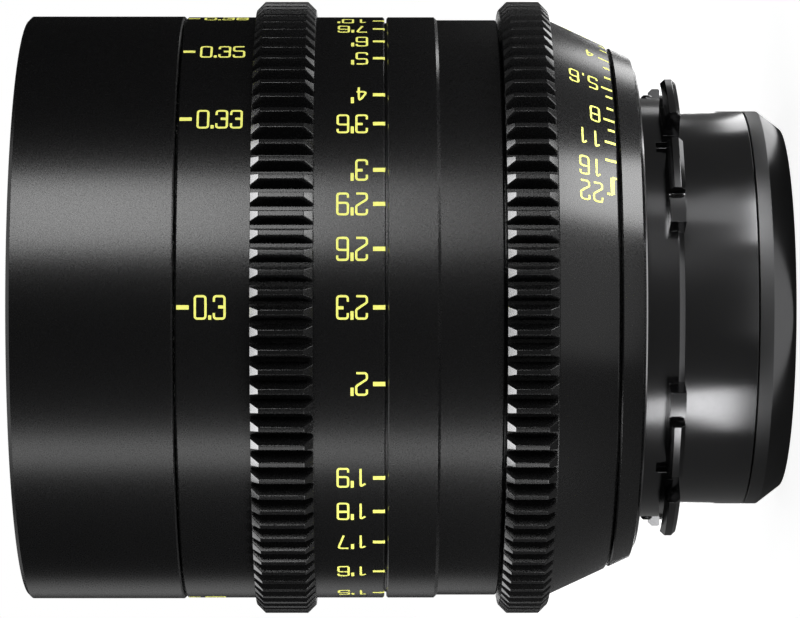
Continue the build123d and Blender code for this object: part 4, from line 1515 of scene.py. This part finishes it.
class Optics:
    """The lens elements, from the front to the rear."""

    ELEMENTS = (
        Element(
            "front_element", "front_glass", Body.BARREL,
            radius=0.0341, rims=(0.0752, 0.0784), sags=(0.0032, 0.0042),
        ),
        Element(
            "second_element", "second_glass", Body.BARREL,
            radius=0.02545, rims=(0.0656, 0.0672), sags=(0.0034, 0.0044),
        ),
        Element(
            "focus_crown", "focus_crown_glass", Body.GROUP,
            radius=0.0228, rims=(0.0507, 0.0529), sags=(0.003, 0.0054),
        ),
        Element(
            "focus_flint", "focus_flint_glass", Body.GROUP,
            radius=0.0228, rims=(0.0477, 0.0507), sags=(0.0014, 0.003),
        ),
        Element(
            "focus_rear_element", "focus_rear_glass", Body.GROUP,
            radius=0.0188, rims=(0.0317, 0.0337), sags=(-0.0008, 0.0016),
        ),
        Element(
            "rear_crown", "rear_crown_glass", Body.BARREL,
            radius=0.01825, rims=(0.0022, 0.0046), sags=(0.0024, 0.0018),
        ),
        Element(
            "rear_flint", "rear_flint_glass", Body.BARREL,
            radius=0.01825, rims=(-0.0004, 0.0022), sags=(0.0012, 0.0024),
        ),
        Element(
            "rear_element", "rear_glass", Body.BARREL,
            radius=0.01825, rims=(-0.0084, -0.006), sags=(-0.0006, 0.0013),
        ),
    )

    def build(self) -> None:
        """Make every element."""
        for element in self.ELEMENTS:
            element.build()


class Interior:
    """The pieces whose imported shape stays, with their real finishes."""

    FINISHES = {
        "mount_shim": Finishes.SHIM,
        "mount_screws": Finishes.SCREW,
        "spigot_screws": Finishes.SCREW,
        "cam_screws": Finishes.SCREW,
        "roller_studs": Finishes.SCREW,
        "iris_pin": Finishes.SCREW,
        "cam_rollers": Finishes.BRASS,
        "rear_glide_ring": Finishes.GLIDE,
        "front_glide_ring": Finishes.GLIDE,
    }
    BLADE_PREFIX = "iris_blade_"

    def build(self) -> None:
        """Give each kept node its finish."""
        replaced = {node for piece in bpy.data.objects for node in piece.get("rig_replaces", [])}
        for name, node in frame["nodes"].items():
            if name in replaced:
                continue
            finish = self.FINISHES.get(name, Finishes.INSIDE)
            if name.startswith(self.BLADE_PREFIX):
                finish = Finishes.BLADE
            node.data.materials.clear()
            node.data.materials.append(finish.material())
            log.info("%s keeps its shape", name)


@dataclass
class StudioLight:
    """An upright soft box beside the lens.

    Attributes:
        name: the lamp's name.
        angle: its direction about the axis.
        width: width of the box.
        height: height of the box.
        centre: height of its middle.
        power: power of the lamp, in watts.
        distance: distance from the axis.
    """

    name: str
    angle: float
    width: float
    height: float
    centre: float
    power: float
    distance: float = 0.8

    def build(self) -> None:
        """Hang the lamp so that it faces the axis."""
        turn = radians(self.angle)
        place = Vector((self.distance * sin(turn), -self.distance * cos(turn), self.centre))
        hang_lamp(self.name, place, Vector((0, 0, self.centre)), self.width, self.height, self.power)


@dataclass
class FloorPanel:
    """A glowing panel that lies on the floor beside the lens and faces up.

    Attributes:
        name: the lamp's name.
        angle: its direction about the axis.
        inner: distance of its inner edge from the axis.
        outer: distance of its outer edge from the axis.
        span: the angle that it covers.
        glow: power over its area, in watts for each square metre.
    """

    name: str
    angle: float
    inner: float
    outer: float
    span: float
    glow: float

    HEIGHT = -0.0145

    def build(self) -> None:
        """Lay the panel."""
        turn = radians(self.angle)
        reach = (self.inner + self.outer) / 2
        place = Vector((reach * sin(turn), -reach * cos(turn), self.HEIGHT))
        width, depth = reach * radians(self.span), self.outer - self.inner
        power = self.glow * width * depth
        lamp = hang_lamp(self.name, place, place + UPWARD, width, depth, power)
        lamp.rotation_euler = (pi, 0, turn)


def hang_lamp(
    name: str, place: Vector, target: Vector, width: float, height: float, power: float
) -> Piece:
    """Make a rectangular lamp at a place, facing a target.

    Args:
        name: the lamp's name.
        place: its middle.
        target: the point that it faces.
        width: its width.
        height: its height.
        power: its power, in watts.

    Returns:
        The lamp.
    """
    lamp = bpy.data.lights.new(name, "AREA")
    lamp.shape = "RECTANGLE"
    lamp.size = width
    lamp.size_y = height
    lamp.energy = power
    hung = placed(name, lamp)
    hung.location = place
    hung.rotation_euler = (place - target).to_track_quat("Z", "Y").to_euler()
    hung.visible_camera = False
    return hung


@dataclass
class Studio:
    """The pale floor, the soft boxes, the white surround and the camera.

    The camera's focal length and the width of its film are in millimetres, and its shift is a
    share of that width.
    """

    floor_height: float = -0.0149
    floor_reach: float = 4.0
    floor_colour: tuple[float, float, float] = (0.4, 0.4, 0.4)
    floor_roughness: float = 0.9
    floor_glow: float = 0.88
    shadow_reach: tuple[float, float] = (0.1, 0.4)
    surround: float = 0.008
    camera_distance: float = 0.5247
    camera_height: float = 0.04135
    focal_length: float = 171.2
    film_width: float = 36.0
    shift: tuple[float, float] = (0.0389, -0.002)

    LIGHTS = (
        StudioLight("key_box", angle=35.5, width=0.4, height=0.14, centre=0.14, power=2.0),
        StudioLight("fill_strip", angle=-56.0, width=0.168, height=0.9, centre=0.44, power=1.7),
        StudioLight("lower_rim_strip", angle=-144.0, width=0.3, height=0.9, centre=0.44, power=0.36),
        StudioLight("back_strip", angle=180.0, width=0.16, height=0.9, centre=0.44, power=1.6),
    )
    PANELS = (
        FloorPanel("key_panel", angle=41.0, inner=0.044, outer=0.07, span=25.0, glow=32.0),
        FloorPanel("far_key_panel", angle=54.0, inner=0.1, outer=0.3, span=12.0, glow=4.5),
        FloorPanel("front_panel", angle=5.0, inner=0.048, outer=0.075, span=40.0, glow=2.0),
        FloorPanel("foot_panel", angle=-3.0, inner=0.025, outer=0.036, span=60.0, glow=2.8),
        FloorPanel("upper_foot_panel", angle=74.0, inner=0.0255, outer=0.036, span=40.0, glow=7.5),
        FloorPanel("fill_panel", angle=-54.0, inner=0.1, outer=0.28, span=15.0, glow=30.0),
        FloorPanel("upper_edge_panel", angle=118.0, inner=0.055, outer=0.1, span=22.0, glow=12.0),
        FloorPanel("upper_rim_panel", angle=157.0, inner=0.1, outer=0.19, span=12.0, glow=13.0),
        FloorPanel("upper_neck_panel", angle=132.0, inner=0.19, outer=0.32, span=10.0, glow=5.0),
        FloorPanel("lower_rim_panel", angle=-160.0, inner=0.1, outer=0.19, span=9.0, glow=10.0),
    )
    OVERHEAD_HEIGHT = 0.9
    OVERHEAD_OFFSET = 0.1
    OVERHEAD_SIZE = (1.0, 0.5)
    OVERHEAD_POWER = 1.7
    BACKDROP_SHARES = (0.985, 0.9995)

    def build(self) -> None:
        """Make the studio."""
        for light in (*self.LIGHTS, *self.PANELS):
            light.build()
        place = Vector((0, self.OVERHEAD_OFFSET, self.OVERHEAD_HEIGHT))
        below = Vector((0, self.OVERHEAD_OFFSET, 0))
        hang_lamp("overhead_box", place, below, *self.OVERHEAD_SIZE, self.OVERHEAD_POWER)
        self.floor()
        self.world()
        self.camera()

    def floor(self) -> None:
        """Lay the floor, which shows white but keeps the shadow."""
        mesh = bpy.data.meshes.new("floor")
        reach = self.floor_reach
        plan = ((-reach, -reach), (reach, -reach), (reach, reach), (-reach, reach))
        corners = [(across, away, self.floor_height) for across, away in plan]
        mesh.from_pydata(corners, [], [range(len(corners))])
        material = bpy.data.materials.new("pale_floor")
        material.use_nodes = True
        wiring = Wiring(material.node_tree)
        seen = wiring.add("ShaderNodeLightPath").outputs["Is Camera Ray"]
        colour = (*self.floor_colour, 1)
        plain = wiring.add("ShaderNodeBsdfPrincipled", base_color=colour, roughness=self.floor_roughness)
        away = wiring.add("ShaderNodeVectorMath", {"operation": "LENGTH"})
        wiring.link(away, wiring.add("ShaderNodeTexCoord").outputs["Object"])
        near, far = self.shadow_reach
        rising = wiring.add(
            "ShaderNodeMapRange",
            value=away.outputs["Value"],
            from_min=near,
            from_max=far,
            to_min=self.floor_glow,
            to_max=FULL_STRENGTH,
        )
        glow = wiring.add("ShaderNodeEmission", strength=rising.outputs[0])
        both = wiring.link(wiring.add("ShaderNodeAddShader"), plain.outputs[0], glow.outputs[0])
        wiring.add("ShaderNodeOutputMaterial", surface=wiring.mix(seen, plain.outputs[0], both))
        mesh.materials.append(material)
        floor = placed("floor", mesh)

    def world(self) -> None:
        """Make a dim surround with a white backdrop, which the camera sees all round."""
        world = bpy.data.worlds.new("studio")
        world.use_nodes = True
        bpy.context.scene.world = world
        wiring = Wiring(world.node_tree)
        path = wiring.add("ShaderNodeLightPath").outputs
        dim, white = (
            wiring.add("ShaderNodeBackground", color=(1, 1, 1, 1), strength=strength).outputs[0]
            for strength in (self.surround, FULL_STRENGTH)
        )
        direction = wiring.add("ShaderNodeTexCoord").outputs["Generated"]
        depth = wiring.add("ShaderNodeSeparateXYZ", vector=direction).outputs["Y"]
        low, high = self.BACKDROP_SHARES
        backdrop = wiring.add("ShaderNodeMapRange", value=depth, from_min=low, from_max=high).outputs[0]
        mirrored = wiring.math("MAXIMUM", path["Is Glossy Ray"], path["Is Transmission Ray"])
        shown = wiring.math("MULTIPLY", mirrored, backdrop)
        bright = wiring.math("MAXIMUM", path["Is Camera Ray"], shown)
        wiring.add("ShaderNodeOutputWorld", surface=wiring.mix(bright, dim, white))

    def camera(self) -> None:
        """Place the camera level with the lens, rolled so that the front is at the left."""
        data = bpy.data.cameras.new("camera")
        data.lens = self.focal_length
        data.sensor_width = self.film_width
        data.shift_x, data.shift_y = self.shift
        camera = placed("camera", data)
        camera.location = (0, -self.camera_distance, self.camera_height)
        camera.rotation_euler = (QUARTER_TURN, QUARTER_TURN, 0)
        bpy.context.scene.camera = camera


def main() -> None:
    """Build every sub-assembly in order."""
    logging.basicConfig(level=logging.INFO, format="%(name)s: %(message)s")
    ring, marks = ring_tree(), mark_tree()
    FrontBarrel().build(marks)
    FocusRing().build(ring, marks)
    MiddleBarrel().build(marks)
    IrisRing().build(ring, marks)
    Mount().build(marks)
    Optics().build()
    Interior().build()
    Studio().build()
    bpy.context.scene.view_settings.view_transform = "Standard"


if __name__ == "__main__":
    main()
